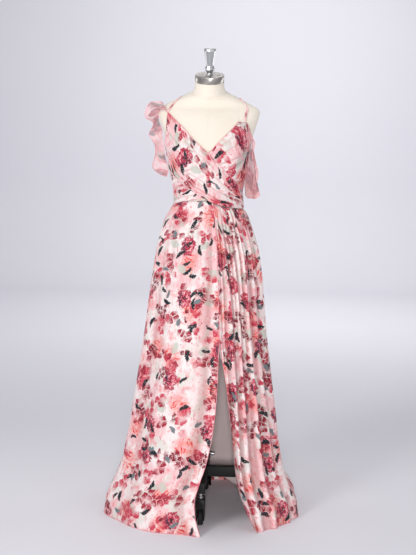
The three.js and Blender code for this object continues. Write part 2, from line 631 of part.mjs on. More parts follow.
// The cloth round the skirt, from the slit's left edge at u = 0 clockwise to its right edge at u = 1: the
// angle it hangs at by the waist, at the slit's top and at the hem, the folds so far, and how tightly it is
// gathered.
const ROUND = [
  { u: 0, waist: 10, knee: 12, hem: -3, folds: 0, tight: 0.5 },
  { u: 0.06, waist: -3, knee: -12, hem: -20, folds: 1, tight: 0.6 },
  { u: 0.2, waist: -48, knee: -52, hem: -56, folds: 3, tight: 0.3 },
  { u: 0.32, waist: -90, knee: -90, hem: -92, folds: 5, tight: 0.4 },
  { u: 0.49, waist: -180, knee: -180, hem: -180, folds: 11, tight: 0.5 },
  { u: 0.66, waist: -270, knee: -270, hem: -268, folds: 17, tight: 0.6 },
  { u: 0.77, waist: -296, knee: -300, hem: -294, folds: 19, tight: 0.8 },
  { u: 0.93, waist: -343, knee: -336, hem: -328, folds: 26, tight: 1 },
  { u: 1, waist: -350, knee: -348, hem: -310, folds: 28, tight: 0.9 },
];
// The two edges of the slit: the angle of each, and the share of the skirt's radius that the right one keeps
// where it is turned in.
const SLIT = [
  { z: 655, left: 12, right: 12, turned: 1 },
  { z: 578, left: 11, right: 15, turned: 0.97 },
  { z: 467, left: 9.4, right: 20.5, turned: 0.88 },
  { z: 375, left: 7.4, right: 24.5, turned: 0.82 },
  { z: 309, left: 5.2, right: 27.5, turned: 0.78 },
  { z: 242, left: 2.2, right: 30.5, turned: 0.76 },
  { z: 158, left: -3, right: 34.5, turned: 0.72 },
  { z: 110, left: -5.1, right: 37.5, turned: 0.69 },
  { z: 60, left: -4.2, right: 41, turned: 0.66 },
  { z: 0, left: -1.2, right: 51, turned: 0.61 },
];
const SLIT_WIDTH = 0.16; // how far round from the slit its edges pull the cloth with them
const TURN_WIDTH = 0.07;
const ease = (t) => t * t * (3 - 2 * t);
function skirtPoint(u, v, shift = 0) {
  const top = waistAt(read(ROUND, "u", "waist", u)) - WAIST_GAP;
  const z = top * (1 - v);
  const at = (level, where = u) => read(ROUND, "u", level, where);
  const above = ease(clamp((top - z) / (top - SLIT_TOP), 0, 1));
  const below = clamp((SLIT_TOP - z) / SLIT_TOP, 0, 1);
  let turn = lerp(lerp(at("waist"), at("knee"), above), at("hem"), below);
  let keep = 1;
  if (z < SLIT_TOP) {
    const pull = (edge, side) => {
      const plain = lerp(at("knee", side), at("hem", side), below);
      return (edge - plain) * ease(clamp(1 - Math.abs(u - side) / SLIT_WIDTH, 0, 1));
    };
    turn += pull(read(SLIT, "z", "left", z), 0) + pull(read(SLIT, "z", "right", z) - 360, 1);
    keep = lerp(1, read(SLIT, "z", "turned", z), ease(clamp(1 - (1 - u) / TURN_WIDTH, 0, 1)));
  }
  const reach = (column) => read(SKIRT, "z", column, z) * keep;
  const angle = degToRad(turn) + shift / reach("front");
  const count = at("folds") + 0.16 * Math.sin(2.3 * at("folds"));
  const phase = 2 * Math.PI * count;
  const uneven = 0.8 + 0.3 * Math.sin(1.7 * at("folds") + 1);
  const fold =
    uneven *
    (at("tight") * read(FOLDS, "z", "gather", z) * Math.cos(phase) +
      read(FOLDS, "z", "broad", z) * Math.cos(phase / 2 + 0.6 * Math.sin(at("folds"))));
  const [s, c] = [Math.sin(angle), Math.cos(angle)];
  return new THREE.Vector3(
    (reach(s < 0 ? "left" : "right") + fold) * s,
    -(reach(c > 0 ? "front" : "back") + fold) * c,
    z,
  );
}
const SKIRT_ROWS = [0, 0.035, 0.07, 0.12, 0.19, 0.3, 0.44, 0.58, 0.72, 0.83, 0.92, 1];
const SKIRT_PANELS = [
  { name: "skirt_front_left", from: 0, to: 0.32, columns: 20 },
  { name: "skirt_back_left", from: 0.32, to: 0.49, columns: 24 },
  { name: "skirt_back_right", from: 0.49, to: 0.66, columns: 24 },
  { name: "skirt_front_right", from: 0.66, to: 1, columns: 44 },
];
for (const { name, from, to, columns } of SKIRT_PANELS) {
  const at = (p, q) => skirtPoint(lerp(from, to, p), q, lerp(-SEAM / 2, SEAM / 2, p));
  add(name, wall(at, steps(0, 1, columns), SKIRT_ROWS, CLOTH, { level: true }), MATERIALS.chiffon);
}

// The lining shows in the slit: two plain halves from its own slit to the centre back.
const LINING = [
  { z: 1102, half: 116, front: 84, back: 87.2 },
  { z: 1068, half: 119.6, front: 87, back: 91 },
  { z: 1038, half: 129.6, front: 91.6, back: 99.6 },
  { z: 1009, half: 138.4, front: 97, back: 108 },
  { z: 959, half: 155, front: 105, back: 122 },
  { z: 906, half: 165.5, front: 111, back: 130 },
  { z: 818, half: 173.5, front: 124, back: 141 },
  { z: 639, half: 189.5, front: 154.5, back: 173.5 },
  { z: 410, half: 218, front: 189, back: 212 },
  { z: 157, half: 253, front: 225, back: 249 },
  { z: 0, half: 266, front: 240, back: 266 },
];
const LINING_SLIT = [
  { z: 1102, left: 11.6, right: 12.2, wave: 0 },
  { z: 619, left: 11.6, right: 12.2, wave: 2 },
  { z: 466, left: 6, right: 29, wave: 3.5 },
  { z: 312, left: 0, right: 42, wave: 4 },
  { z: 0, left: -14, right: 62, wave: 4.5 },
];
// The lining's hem hangs unevenly: it is highest at the slit's left and lowest at the back on the right.
const LINING_HEM = [
  { angle: -180, z: 74 },
  { angle: -90, z: 92 },
  { angle: -14, z: 107 },
  { angle: 62, z: 29 },
  { angle: 120, z: 6 },
  { angle: 150, z: 10 },
  { angle: 166, z: 46 },
  { angle: 180, z: 74 },
];
for (const [name, side] of [["left", -1], ["right", 1]]) {
  const at = (p, q) => {
    const top = waistAt(lerp(LINING_SLIT[0][name], side * 180, p)) - WAIST_GAP;
    const hem = read(LINING_HEM, "angle", "z", lerp(LINING_SLIT.at(-1)[name], side * 180, p));
    const z = lerp(top, hem, q);
    const seam = side * (180 - radToDeg(SEAM / 2 / read(LINING, "z", "half", z)));
    const angle = degToRad(lerp(read(LINING_SLIT, "z", name, z), seam, p));
    const fold = read(LINING_SLIT, "z", "wave", z) * Math.cos(2 * Math.PI * 3 * (1 - p));
    const [s, c] = [Math.sin(angle), Math.cos(angle)];
    const deep = read(LINING, "z", c > 0 ? "front" : "back", z);
    return new THREE.Vector3((read(LINING, "z", "half", z) + fold) * s, -(deep + fold) * c, z);
  };
  const rows = [0, 0.04, 0.08, 0.14, 0.24, 0.42, 0.62, 0.82, 1];
  add(`lining_${name}`, wall(at, steps(0, 1, 18), rows, LINING_CLOTH, { level: true }), MATERIALS.lining);
}

// The back zip: a covered strip in the centre back seam, a slider at its top and a pull tab that swings on
// it.
const ZIP = { top: 1227, bottom: 1069, tall: 1.6 };
const zipAt = (p, q) => {
  const at = onForm(180, lerp(ZIP.top, ZIP.bottom, q), UNDER_OUT + 0.4);
  return at.add(new THREE.Vector3(lerp(-ZIP_HALF, ZIP_HALF, p), 0, 0));
};
add("zip_strip", wall(zipAt, [0, 1], steps(0, 1, 12), ZIP.tall), MATERIALS.zip);
const SLIDER = { x: 3.8, y: 2.4, z: 8, arch: 2.6, strap: 1.6, bar: 1.1 };
const sliderHeight = ZIP.top + 0.4 + SLIDER.z / 2;
const sliderFace = onForm(180, sliderHeight, UNDER_OUT + 1).y;
const archOut = SLIDER.y / 2 + SLIDER.arch;
const sliderBody = solid(box(SLIDER.x, SLIDER.y, SLIDER.z))
  .add(solid(box(SLIDER.strap, SLIDER.arch + 1, 1.4, [0, SLIDER.y / 2 + SLIDER.arch / 2, 3.2])))
  .add(solid(box(SLIDER.strap, SLIDER.arch + 1, 1.4, [0, SLIDER.y / 2 + SLIDER.arch / 2, -3.2])))
  .add(solid(box(SLIDER.strap, 1.1, 7.8, [0, archOut + 0.05, 0])));
add("zip_slider", geometryOf(sliderBody), MATERIALS.zip, [0, sliderFace, sliderHeight]);
const PULL = { wide: 5.6, long: 24, eye: 2.6, thick: 1.1 };
const pullShape = new THREE.Shape();
pullShape.moveTo(-PULL.wide / 2, SLIDER.bar / 2);
pullShape.lineTo(-PULL.wide / 2, -7);
pullShape.lineTo(-2, -PULL.long + 4);
pullShape.lineTo(-1.2, -PULL.long);
pullShape.lineTo(1.2, -PULL.long);
pullShape.lineTo(2, -PULL.long + 4);
pullShape.lineTo(PULL.wide / 2, -7);
pullShape.lineTo(PULL.wide / 2, SLIDER.bar / 2);
const eye = new THREE.Path();
eye.moveTo(-PULL.eye / 2, -SLIDER.bar / 2);
eye.lineTo(PULL.eye / 2, -SLIDER.bar / 2);
eye.lineTo(PULL.eye / 2, -5.4);
eye.lineTo(-PULL.eye / 2, -5.4);
pullShape.holes.push(eye);
const pull = new THREE.ExtrudeGeometry(pullShape, { depth: PULL.thick, bevelEnabled: false })
  .translate(0, 0, -PULL.thick / 2)
  .rotateX(Math.PI / 2);
const pullFace = sliderFace + SLIDER.y / 2 + SLIDER.arch / 2 - 0.1;
add("zip_pull", pull, MATERIALS.zip, [0, pullFace, sliderHeight - 0.2]);

// The origin is the middle of the whole, on the floor.
part.updateMatrixWorld(true);
const whole = new THREE.Box3().setFromObject(part, true);
const middle = whole.getCenter(new THREE.Vector3());
part.position.set(-middle.x, -middle.y, 0);

export default part;
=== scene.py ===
import math

import bmesh
import bpy
import numpy as np
from mathutils import Matrix, Vector


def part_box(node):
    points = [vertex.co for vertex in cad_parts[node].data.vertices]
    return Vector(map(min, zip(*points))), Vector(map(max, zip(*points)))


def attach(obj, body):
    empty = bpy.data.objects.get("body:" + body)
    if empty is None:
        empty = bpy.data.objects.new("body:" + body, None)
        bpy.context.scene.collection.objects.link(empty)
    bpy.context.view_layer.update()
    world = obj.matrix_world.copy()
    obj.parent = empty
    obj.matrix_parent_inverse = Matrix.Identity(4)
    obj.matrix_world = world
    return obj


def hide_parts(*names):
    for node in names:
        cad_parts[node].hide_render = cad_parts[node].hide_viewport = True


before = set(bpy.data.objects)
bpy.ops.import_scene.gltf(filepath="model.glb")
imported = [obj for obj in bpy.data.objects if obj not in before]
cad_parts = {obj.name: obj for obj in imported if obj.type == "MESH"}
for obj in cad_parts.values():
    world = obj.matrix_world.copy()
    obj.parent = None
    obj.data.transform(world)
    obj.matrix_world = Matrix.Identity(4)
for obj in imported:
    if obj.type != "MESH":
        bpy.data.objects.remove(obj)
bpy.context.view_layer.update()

# Camera.
# The photograph is taken from 4 m in front, at chest height, looking a little down. The form stands on the
# pole's axis, so the camera is placed from that axis.
pole_low, pole_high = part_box("stand_pole")
AXIS = ((pole_low + pole_high) / 2).xy
CAMERA_AT = (0.005, -4.0, 1.329)  # from the pole's axis, on the floor
PITCH_DOWN = 7.19  # degrees
CAMERA_ROLL = 0.9  # degrees
LENS = 75.4  # mm, on a 36 mm sensor


def placed(name, data):
    """A new object of the scene, at the origin."""
    made = bpy.data.objects.new(name, data)
    bpy.context.scene.collection.objects.link(made)
    return made


camera_data = bpy.data.cameras.new("camera")
camera_data.lens = LENS
camera_data.sensor_width = 36
camera = placed("camera", camera_data)
camera.matrix_world = (
    Matrix.Translation((AXIS.x + CAMERA_AT[0], AXIS.y + CAMERA_AT[1], CAMERA_AT[2]))
    @ Matrix.Rotation(math.radians(90 - PITCH_DOWN), 4, "X")
    @ Matrix.Rotation(math.radians(CAMERA_ROLL), 4, "Z")
)
bpy.context.scene.camera = camera


# Studio.
# A sheet of pale lilac seamless paper, swept up behind the form in one curve, under large soft lamps.
def colour(text):
    """A linear RGBA colour from an sRGB hex value."""
    parts = [int(text[i : i + 2], 16) / 255 for i in (1, 3, 5)]
    return [p / 12.92 if p <= 0.04045 else ((p + 0.055) / 1.055) ** 2.4 for p in parts] + [1.0]


def feed(tree, made, inputs):
    """Fills inputs of a node, by name or number, with a value, an sRGB hex value, or a socket or node to
    link. A node stands for its first live output."""
    for key, value in inputs.items():
        if isinstance(key, int):
            socket = made.inputs[key]
        else:
            socket = next(s for s in made.inputs if s.enabled and s.name == key)
        if isinstance(value, bpy.types.Node):
            value = next(s for s in value.outputs if s.enabled)
        if isinstance(value, bpy.types.NodeSocket):
            tree.links.new(value, socket)
        elif isinstance(value, str):
            socket.default_value = colour(value)
        else:
            socket.default_value = value


def node(tree, kind, inputs=None, **settings):
    """Adds a node with its settings and its inputs."""
    made = tree.nodes.new(kind)
    for name, value in settings.items():
        setattr(made, name, value)
    feed(tree, made, inputs or {})
    return made


def surface(name, place="Object"):
    """A new material, its tree, its shader, and the place on the object or on the flat cut."""
    material = bpy.data.materials.new(name)
    material.use_nodes = True
    tree = material.node_tree
    tree.nodes.clear()
    shader = node(tree, "ShaderNodeBsdfPrincipled")
    node(tree, "ShaderNodeOutputMaterial", {"Surface": shader})
    return material, tree, shader, node(tree, "ShaderNodeTexCoord").outputs[place]


def see_light_through(tree, shader, tint, share):
    """Lets that share of the light that falls on the back of a thin cloth through to its front."""
    glow = node(tree, "ShaderNodeBsdfTranslucent", {"Color": tint})
    both = node(tree, "ShaderNodeMixShader", {0: share, 1: shader, 2: glow})
    ending = next(n for n in tree.nodes if n.bl_idname == "ShaderNodeOutputMaterial")
    feed(tree, ending, {"Surface": both})


def plain_mesh(name, points, faces, material):
    """A smooth mesh object at the origin, with its place in its mesh."""
    mesh = bpy.data.meshes.new(name)
    mesh.from_pydata([tuple(p) for p in points], [], [tuple(int(i) for i in f) for f in faces])
    mesh.materials.append(material)
    mesh.polygons.foreach_set("use_smooth", [True] * len(mesh.polygons))
    return placed(name, mesh)


# Matt and pale, a little cloudy, so that it shows only the lamps' fall-off.
paper, tree, shader, place = surface("seamless_paper")
grain = node(tree, "ShaderNodeTexNoise", {"Vector": place, "Scale": 1.1, "Detail": 2})
tint = node(tree, "ShaderNodeMix", {"Factor": grain, "A": "#dcdce3", "B": "#e0e0e6"}, data_type="RGBA")
feed(tree, shader, {"Base Color": tint, "Roughness": 0.9})
WALL = 6.5  # metres behind the form, so that the form can be seen from all round
BEND = 0.9
HALF_WIDE, FLOOR_EDGE, TALL = 8, -7.0, 6.5  # metres
SWEEP = [(FLOOR_EDGE, 0.0), (WALL - BEND, 0.0)]
for a in np.radians(np.linspace(6, 90, 15)):
    SWEEP.append((WALL - BEND + BEND * math.sin(a), BEND - BEND * math.cos(a)))
SWEEP.append((WALL, TALL))
points = [(x, AXIS.y + y, z) for y, z in SWEEP for x in (-HALF_WIDE, HALF_WIDE)]
faces = [(2 * i, 2 * i + 1, 2 * i + 3, 2 * i + 2) for i in range(len(SWEEP) - 1)]
backdrop = plain_mesh("backdrop", points, faces, paper)

world = bpy.data.worlds.new("studio")
world.use_nodes = True
feed(world.node_tree, world.node_tree.nodes["Background"], {"Color": "#f3f3f8", "Strength": 0.48})
bpy.context.scene.world = world
bpy.context.scene.view_settings.view_transform = "Standard"
# Each lamp: where it stands from the pole's axis, what it aims at, its size (metres) and its power (watts).
LAMPS = {
    "front": ((0.0, -3.8, 1.05), (0, 0, 0.7), (0.35, 0.6), 61),
    "key": ((-2.0, -2.7, 2.4), (0, 0, 0.9), (0.9, 1.6), 51),
    "fill": ((2.4, -2.6, 1.7), (0, 0, 0.8), (1.0, 2.2), 10),
    "top": ((0.2, 0.2, 3.4), (0, 0.2, 0), (2.6, 1.8), 9),
    "back left": ((-1.7, 1.3, 1.0), (0, 0, 0.8), (0.5, 1.0), 1.5),
    "back right": ((1.8, 1.3, 1.0), (0, 0, 0.8), (0.5, 1.0), 1.5),
    "wall": ((0.6, 3.6, 2.9), (0.5, 6.5, 0.6), (1.8, 1.2), 53),
    "floor": ((0.4, 2.9, 3.4), (0.4, 3.1, 0.0), (3.0, 1.6), 29),
}
GRID_SPREAD = 60  # degrees, through the honeycomb grids of the two back lamps
for name, (at, aim, size, power) in LAMPS.items():
    data = bpy.data.lights.new(name, "AREA")
    data.shape = "RECTANGLE"
    data.size, data.size_y = size
    data.energy = power
    data.spread = math.radians(GRID_SPREAD if name.startswith("back") else 180)
    data.color = colour("#fffdfb")[:3]
    lamp = placed(name, data)
    lamp.visible_camera = False
    lamp.location = (AXIS.x + at[0], AXIS.y + at[1], at[2])
    look = Vector(aim) - Vector(at)
    lamp.rotation_euler = look.to_track_quat("-Z", "Y").to_euler()


# Dress form.
# A tailor's form: a padded body without limbs, under a tight cover of cream linen that is sewn in panels,
# with seams at the centres, sides and princess lines and a band at the base of the neck.
def table(text):
    """A table written as text under its column names: an array for each column, sorted by the first."""
    names, *rows = (line.split() for line in text.strip().splitlines())
    found = dict(zip(names, np.array(rows, float).T))
    order = np.argsort(found[names[0]])
    return {name: values[order] for name, values in found.items()}


def read(rows, column, at):
    """A column of a table along its first column, on a smooth curve that never overshoots its rows."""
    key, value = rows[next(iter(rows))], rows[column]
    at = np.clip(np.asarray(at, float), key[0], key[-1])
    i = np.clip(np.searchsorted(key, at, side="right") - 1, 0, len(key) - 2)
    slope = np.diff(value) / np.diff(key)
    same = slope[:-1] * slope[1:] > 0
    mean = np.where(same, 2 * slope[:-1] * slope[1:] / np.where(same, slope[:-1] + slope[1:], 1), 0)
    tangent = np.concatenate([slope[:1], mean, slope[-1:]])
    span = key[i + 1] - key[i]
    t = (at - key[i]) / span
    rise = value[i] + (value[i + 1] - value[i]) * t * t * (3 - 2 * t)
    return rise + span * (tangent[i] * t * (1 - t) ** 2 - tangent[i + 1] * t * t * (1 - t))


MM = 0.001  # metres


def stand_in(piece, body_name, node_name):
    """Puts a piece on its body, in the place of a CAD node."""
    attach(piece, body_name)
    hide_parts(node_name)


def metres(points):
    """Millimetres from the pole's axis to the frame's metres."""
    return np.asarray(points, float) / 1000 + np.array([AXIS.x, AXIS.y, 0])


# By height: its half width, its depth in front and behind, how far the bust stands out, and its lean.
FORM = table("""
    z    half  front back bust lean
    779  149   91    107  0    0
    820  157   97    115  0    0
    890  161   103   123  0    0
    959  150   99    117  0    0
    1019 130   91    101  0    0
    1068 116   84    88   0    0
    1097 112.5 81    84   0    0
    1137 117   82    87   0    0
    1156 120   85    90   2    0
    1176 124.5 88    93   6    0
    1215 130   94    97   18   0
    1239 133   97    99   22   0
    1264 138   98    100  20   0
    1293 146   94    99   10   0
    1322 153   86    96   3    0
    1351 163   75    90   0    0
    1380 171   60    78   0    0
    1394 173   50    67   0    0
    1405 166   42    58   0    3
    1418 144   37    55   0    7
    1433 115   36    53   0    12
    1447 84    40    53   0    17
""")
BUST_ANGLE = 34  # degrees from the centre front
BUST_SPREAD = 20
# By height: its half width, its half depth, how far back its middle is, and its lean.
NECK = table("""
    z      half deep y    lean
    1458.5 58.5 48.5 4    21
    1470   52.5 47.5 1    19
    1483.5 50   47.5 -2   16.5
    1494.5 49.5 48.5 -3.9 15.5
""")


def on_form(angle, height, out=0.0):
    """Points at these angles (degrees from the front) and heights, out millimetres proud of the form."""
    angle, height, out = np.broadcast_arrays(
        np.asarray(angle, float), np.asarray(height, float), np.asarray(out, float)
    )
    s, c = np.sin(np.radians(angle)), np.cos(np.radians(angle))
    turn = (angle + 180) % 360 - 180
    swell = sum(np.exp(-(((turn - side * BUST_ANGLE) / BUST_SPREAD) ** 2)) for side in (1, -1))
    more = read(FORM, "bust", height) * swell + out
    x = (read(FORM, "half", height) + more) * s
    deep = np.where(c > 0, read(FORM, "front", height), read(FORM, "back", height))
    y = -(deep + more) * c
    return np.stack([x, y, height + y * np.tan(np.radians(read(FORM, "lean", height)))], -1)


# Warm cream and matt: a weave with darker slubs, and a faint nap at the edges.
linen, tree, shader, place = surface("stretched_linen", "UV")
THREAD = 0.0016  # metres. The real thread is 0.5 mm, drawn three times as coarse so that it shows
across = node(tree, "ShaderNodeSeparateXYZ", {"Vector": place})
waves = []
for way in "XY":
    turn = {0: across.outputs[way], 1: 2 * math.pi / THREAD}
    turn = node(tree, "ShaderNodeMath", turn, operation="MULTIPLY")
    waves.append(node(tree, "ShaderNodeMath", {0: turn}, operation="SINE"))
threads = node(tree, "ShaderNodeMath", {0: waves[0], 1: waves[1]}, operation="MULTIPLY")
slub = node(tree, "ShaderNodeTexNoise", {"Vector": place, "Scale": 220, "Detail": 3, "Roughness": 0.6})
shade = node(tree, "ShaderNodeTexNoise", {"Vector": place, "Scale": 9, "Detail": 2})
tone = node(tree, "ShaderNodeMix", {"Factor": shade, "A": "#e4dbcc", "B": "#ebe3d6"}, data_type="RGBA")
fleck = node(tree, "ShaderNodeMapRange", {"Value": slub, "From Min": 0.58, "From Max": 0.8, "To Max": 0.35})
tone = node(tree, "ShaderNodeMix", {"Factor": fleck, "A": tone, "B": "#d3c6b0"}, data_type="RGBA")
woven = node(tree, "ShaderNodeMath", {0: threads, 1: slub}, operation="ADD")
relief = node(tree, "ShaderNodeBump", {"Height": woven, "Distance": 0.12 * MM})
feed(tree, shader, {"Base Color": tone, "Roughness": 0.88, "Normal": relief})
feed(tree, shader, {"Sheen Weight": 0.25, "Sheen Roughness": 0.5})


def cloth_uv(grid, ease=None):
    """A place on the flat cut for each point of a grid: metres along each row, and down the middle column.
    Ease says how many times longer the flat cloth is there, where gathers take it up."""
    middle = grid.shape[1] // 2
    step = np.linalg.norm(np.diff(grid, axis=1), axis=2)
    if ease is not None:
        step = step * ease
    along = np.concatenate([np.zeros((grid.shape[0], 1)), np.cumsum(step, 1)], 1)
    along = along - along[:, middle : middle + 1]
    down = np.concatenate([[0], np.cumsum(np.linalg.norm(np.diff(grid[:, middle], axis=0), axis=1))])
    return np.stack([along, np.repeat(-down[:, None], grid.shape[1], 1)], -1)


def cut_size(uv, rows=slice(None)):
    """The width, over these rows, and the length of a flat cut, in metres."""
    return float(np.ptp(uv[rows, :, 0])), float(np.ptp(uv[..., 1]))


def grid_mesh(name, grid, uv, material, around=False, fold_shade=None):
    """A smooth mesh over a grid of points in metres, with its flat cut as a UV map, its faces turned outward.
    Around joins its last column to its first. The last argument is painted shade in the hollows of folds,
    from 0 to 1."""
    rows, columns = grid.shape[:2]
    index = np.arange(rows * columns).reshape(rows, columns)
    a, b, c, d = index[:-1, :-1], index[:-1, 1:], index[1:, 1:], index[1:, :-1]
    faces = np.stack([a, b, c, d], -1).reshape(-1, 4)
    flat = grid.reshape(-1, 3)
    middle = faces[len(faces) // 2 + columns // 2]
    normal = np.cross(flat[middle[1]] - flat[middle[0]], flat[middle[3]] - flat[middle[0]])
    away = flat[middle[0]] - np.array([AXIS.x, AXIS.y, flat[middle[0]][2]])
    if normal @ away < 0:
        faces = faces[:, ::-1]
    corner_uv = uv.reshape(-1, 2)[faces.reshape(-1)]
    if around:
        first, last = index[:, 0], index[:, -1]
        joined = np.arange(rows * columns)
        joined[last] = first
        faces = joined[faces]
    made = plain_mesh(name, flat, faces, material)
    made.data.uv_layers.new(name="cut").data.foreach_set("uv", corner_uv.astype(np.float32).ravel())
    # Painted shade for the hollows of folds, kept as a point attribute for the chiffon's colour.
    if fold_shade is not None:
        painted_shade = made.data.attributes.new("fold_shade", "FLOAT", "POINT")
        painted_shade.data.foreach_set("value", np.asarray(fold_shade, np.float32).ravel())
    if around:
        tidy = bmesh.new()
        tidy.from_mesh(made.data)
        bmesh.ops.delete(tidy, geom=[v for v in tidy.verts if not v.link_faces], context="VERTS")
        tidy.to_mesh(made.data)
        tidy.free()
    return made


SEAMS = [0, 180, 90, -90, 38, -38, 145, -145]  # degrees: centres, sides and princess lines
SEAM_DEEP = 0.9  # mm
SEAM_WIDE = 0.9  # degrees
# The slope up to the neck: its half width, front, back and lean, each at its foot and at its top.
SLOPE = [(84, 58.5), (40, 44.5), (53, 52.5), (17, 21)]
FORM_COLUMNS, FORM_ROWS, NECK_ROWS = 241, 150, 18
FORM_FOOT, SHOULDER_TOP, SLOPE_FOOT, NECK_FOOT, NECK_TOP = 779, 1447, 1449, 1458.5, 1494.5
NECK_SEAM, NECK_SEAM_DEEP, NECK_SEAM_TALL = 1457, 1.3, 1.6  # mm: the neck band's seam
MIDDLE = 1.1  # metres: a height between the cover's two open ends
angles = np.linspace(-180, 180, FORM_COLUMNS)
heights = np.linspace(FORM_FOOT, SHOULDER_TOP, FORM_ROWS)
groove = lambda turn, at, wide: np.exp(-((((turn - at + 180) % 360 - 180) / wide) ** 2))
inward = sum(groove(angles, at, SEAM_WIDE) for at in SEAMS) * SEAM_DEEP
body = on_form(angles[None, :], heights[:, None], -inward[None, :] * np.ones((len(heights), 1)))
rows = []
s, c = np.sin(np.radians(angles)), np.cos(np.radians(angles))
for z in np.linspace(SLOPE_FOOT, NECK_TOP, NECK_ROWS):
    t = (z - SHOULDER_TOP) / (NECK_FOOT - SHOULDER_TOP)
    if t < 1:  # the slope from the shoulders up to the neck
        half, front, back, lean = (low + (high - low) * t for low, high in SLOPE)
        y = -np.where(c > 0, front, back) * c
        from_middle = y
    else:
        half, lean = read(NECK, "half", z), read(NECK, "lean", z)
        y = read(NECK, "y", z) - read(NECK, "deep", z) * c
        from_middle = y - read(NECK, "y", z)
    rim = NECK_SEAM_DEEP * math.exp(-(((z - NECK_SEAM) / NECK_SEAM_TALL) ** 2))
    rows.append(np.stack([(half - rim) * s, y, z + from_middle * math.tan(math.radians(lean))], -1))
form_grid = metres(np.concatenate([body, np.array(rows)]))
cover = grid_mesh("form_cover", form_grid, cloth_uv(form_grid), linen, around=True)
closing = bmesh.new()
closing.from_mesh(cover.data)
ends = [e for e in closing.edges if e.is_boundary]
for high in (False, True):
    bmesh.ops.contextual_create(closing, geom=[e for e in ends if (e.verts[0].co.z > MIDDLE) == high])
closing.to_mesh(cover.data)
closing.free()
stand_in(cover, "dressed_form", "form_torso")


# Neck cap and finial.
# The cap is turned from bar, with a brushed rim, a small bevel and two spanner holes. The finial is a faceted
# cast knob, plated and polished.
def finer(node_name, name, material, bevel, segments=2, angle=28):
    """A copy of a CAD piece with its corners rounded, which stands for it."""
    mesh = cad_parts[node_name].data.copy()
    mesh.name = name
    mesh.materials.clear()
    mesh.materials.append(material)
    made = placed(name, mesh)
    work = bmesh.new()
    work.from_mesh(mesh)
    bmesh.ops.remove_doubles(work, verts=work.verts, dist=2e-5)
    bmesh.ops.dissolve_limit(work, angle_limit=math.radians(1), verts=work.verts, edges=work.edges)
    work.to_mesh(mesh)
    work.free()
    mesh.polygons.foreach_set("use_smooth", [True] * len(mesh.polygons))
    rounding = made.modifiers.new("rounding", "BEVEL")
    rounding.width = bevel / 1000
    rounding.segments = segments
    rounding.limit_method = "ANGLE"
    rounding.angle_limit = math.radians(angle)
    rounding.harden_normals = True
    return made


# Grey satin metal with fine rings from turning, which streak its reflections.
steel, tree, shader, place = surface("turned_steel")
stretched = node(tree, "ShaderNodeMapping", {"Vector": place, "Scale": (1, 1, 0.04)})
rings = node(tree, "ShaderNodeTexNoise", {"Vector": stretched, "Scale": 130, "Detail": 3, "Roughness": 0.6})
tone = node(tree, "ShaderNodeMix", {"Factor": rings, "A": "#8f8b87", "B": "#b9b5b0"}, data_type="RGBA")
rough = node(tree, "ShaderNodeMapRange", {"Value": rings, "To Min": 0.3, "To Max": 0.42})
relief = node(tree, "ShaderNodeBump", {"Height": rings, "Distance": 0.03 * MM})
feed(tree, shader, {"Base Color": tone, "Roughness": rough, "Metallic": 1, "Normal": relief})

# Bright mirror plate, hazed a little, so that the lamps' reflections have soft edges.
chrome, tree, shader, place = surface("polished_chrome_plate")
haze = node(tree, "ShaderNodeTexNoise", {"Vector": place, "Scale": 90, "Detail": 3})
rough = node(tree, "ShaderNodeMapRange", {"Value": haze, "To Min": 0.3, "To Max": 0.4})
feed(tree, shader, {"Base Color": "#bfc1c3", "Roughness": rough, "Metallic": 1})

cap = finer("form_neck_cap", "neck_cap_turned", steel, 0.9)
stand_in(cap, "dressed_form", "form_neck_cap")
finial = finer("form_finial", "finial_plated", chrome, 0.7, angle=20)
stand_in(finial, "dressed_form", "form_finial")

# Stand.
# A steel pole, a clamp collar and a cross of box-section legs, all powder coated satin black, with a plated
# clamp knob and a bolt head at the leg joint.
# Deep satin black with a fine orange peel, and duller where dust lies.
black, tree, shader, place = surface("black_powder_coat")
peel = node(tree, "ShaderNodeTexNoise", {"Vector": place, "Scale": 700, "Detail": 2})
dust = node(tree, "ShaderNodeTexNoise", {"Vector": place, "Scale": 14, "Detail": 5, "Roughness": 0.6})
tone = node(tree, "ShaderNodeMix", {"Factor": dust, "A": "#070708", "B": "#0f0f11"}, data_type="RGBA")
rough = node(tree, "ShaderNodeMapRange", {"Value": dust, "To Min": 0.38, "To Max": 0.55})
relief = node(tree, "ShaderNodeBump", {"Height": peel, "Distance": 0.04 * MM})
feed(tree, shader, {"Base Color": tone, "Roughness": rough, "Specular IOR Level": 0.3, "Normal": relief})

STAND_PIECES = {
    "stand_collar": ("collar_coated", black, 1.2, "black_metal"),
    "stand_clamp_knob": ("clamp_knob_plated", chrome, 1.0, "chrome"),
    "stand_leg_cross": ("leg_cross_coated", black, 2.2, "black_metal"),
    "stand_leg_front": ("leg_front_coated", black, 2.2, "black_metal"),
    "stand_leg_back": ("leg_back_coated", black, 2.2, "black_metal"),
    "stand_leg_bolt": ("leg_bolt_head", black, 0.8, "black_metal"),
}
for node_name, (name, material, bevel, slot) in STAND_PIECES.items():
    piece = finer(node_name, name, material, bevel, segments=3)
    stand_in(piece, "dressed_form", node_name)

POLE_RADIUS = 0.015
POLE_SIDES = 64
low, high = pole_low.z, pole_high.z
levels = [low, low + MM, high - MM, high]  # the short end bands keep the shading of the long side flat
turn = np.linspace(0, 2 * np.pi, POLE_SIDES, endpoint=False)
ring = [(AXIS.x + POLE_RADIUS * math.cos(a), AXIS.y + POLE_RADIUS * math.sin(a)) for a in turn]
points = [(x, y, z) for z in levels for x, y in ring]
faces = []
for i in range((len(levels) - 1) * POLE_SIDES):
    beside = i - i % POLE_SIDES + (i + 1) % POLE_SIDES
    faces.append((i, beside, beside + POLE_SIDES, i + POLE_SIDES))
faces.append(tuple(range(POLE_SIDES))[::-1])
faces.append(tuple(range(len(points) - POLE_SIDES, len(points))))
pole = plain_mesh("pole_coated", points, faces, black)
stand_in(pole, "dressed_form", "stand_pole")

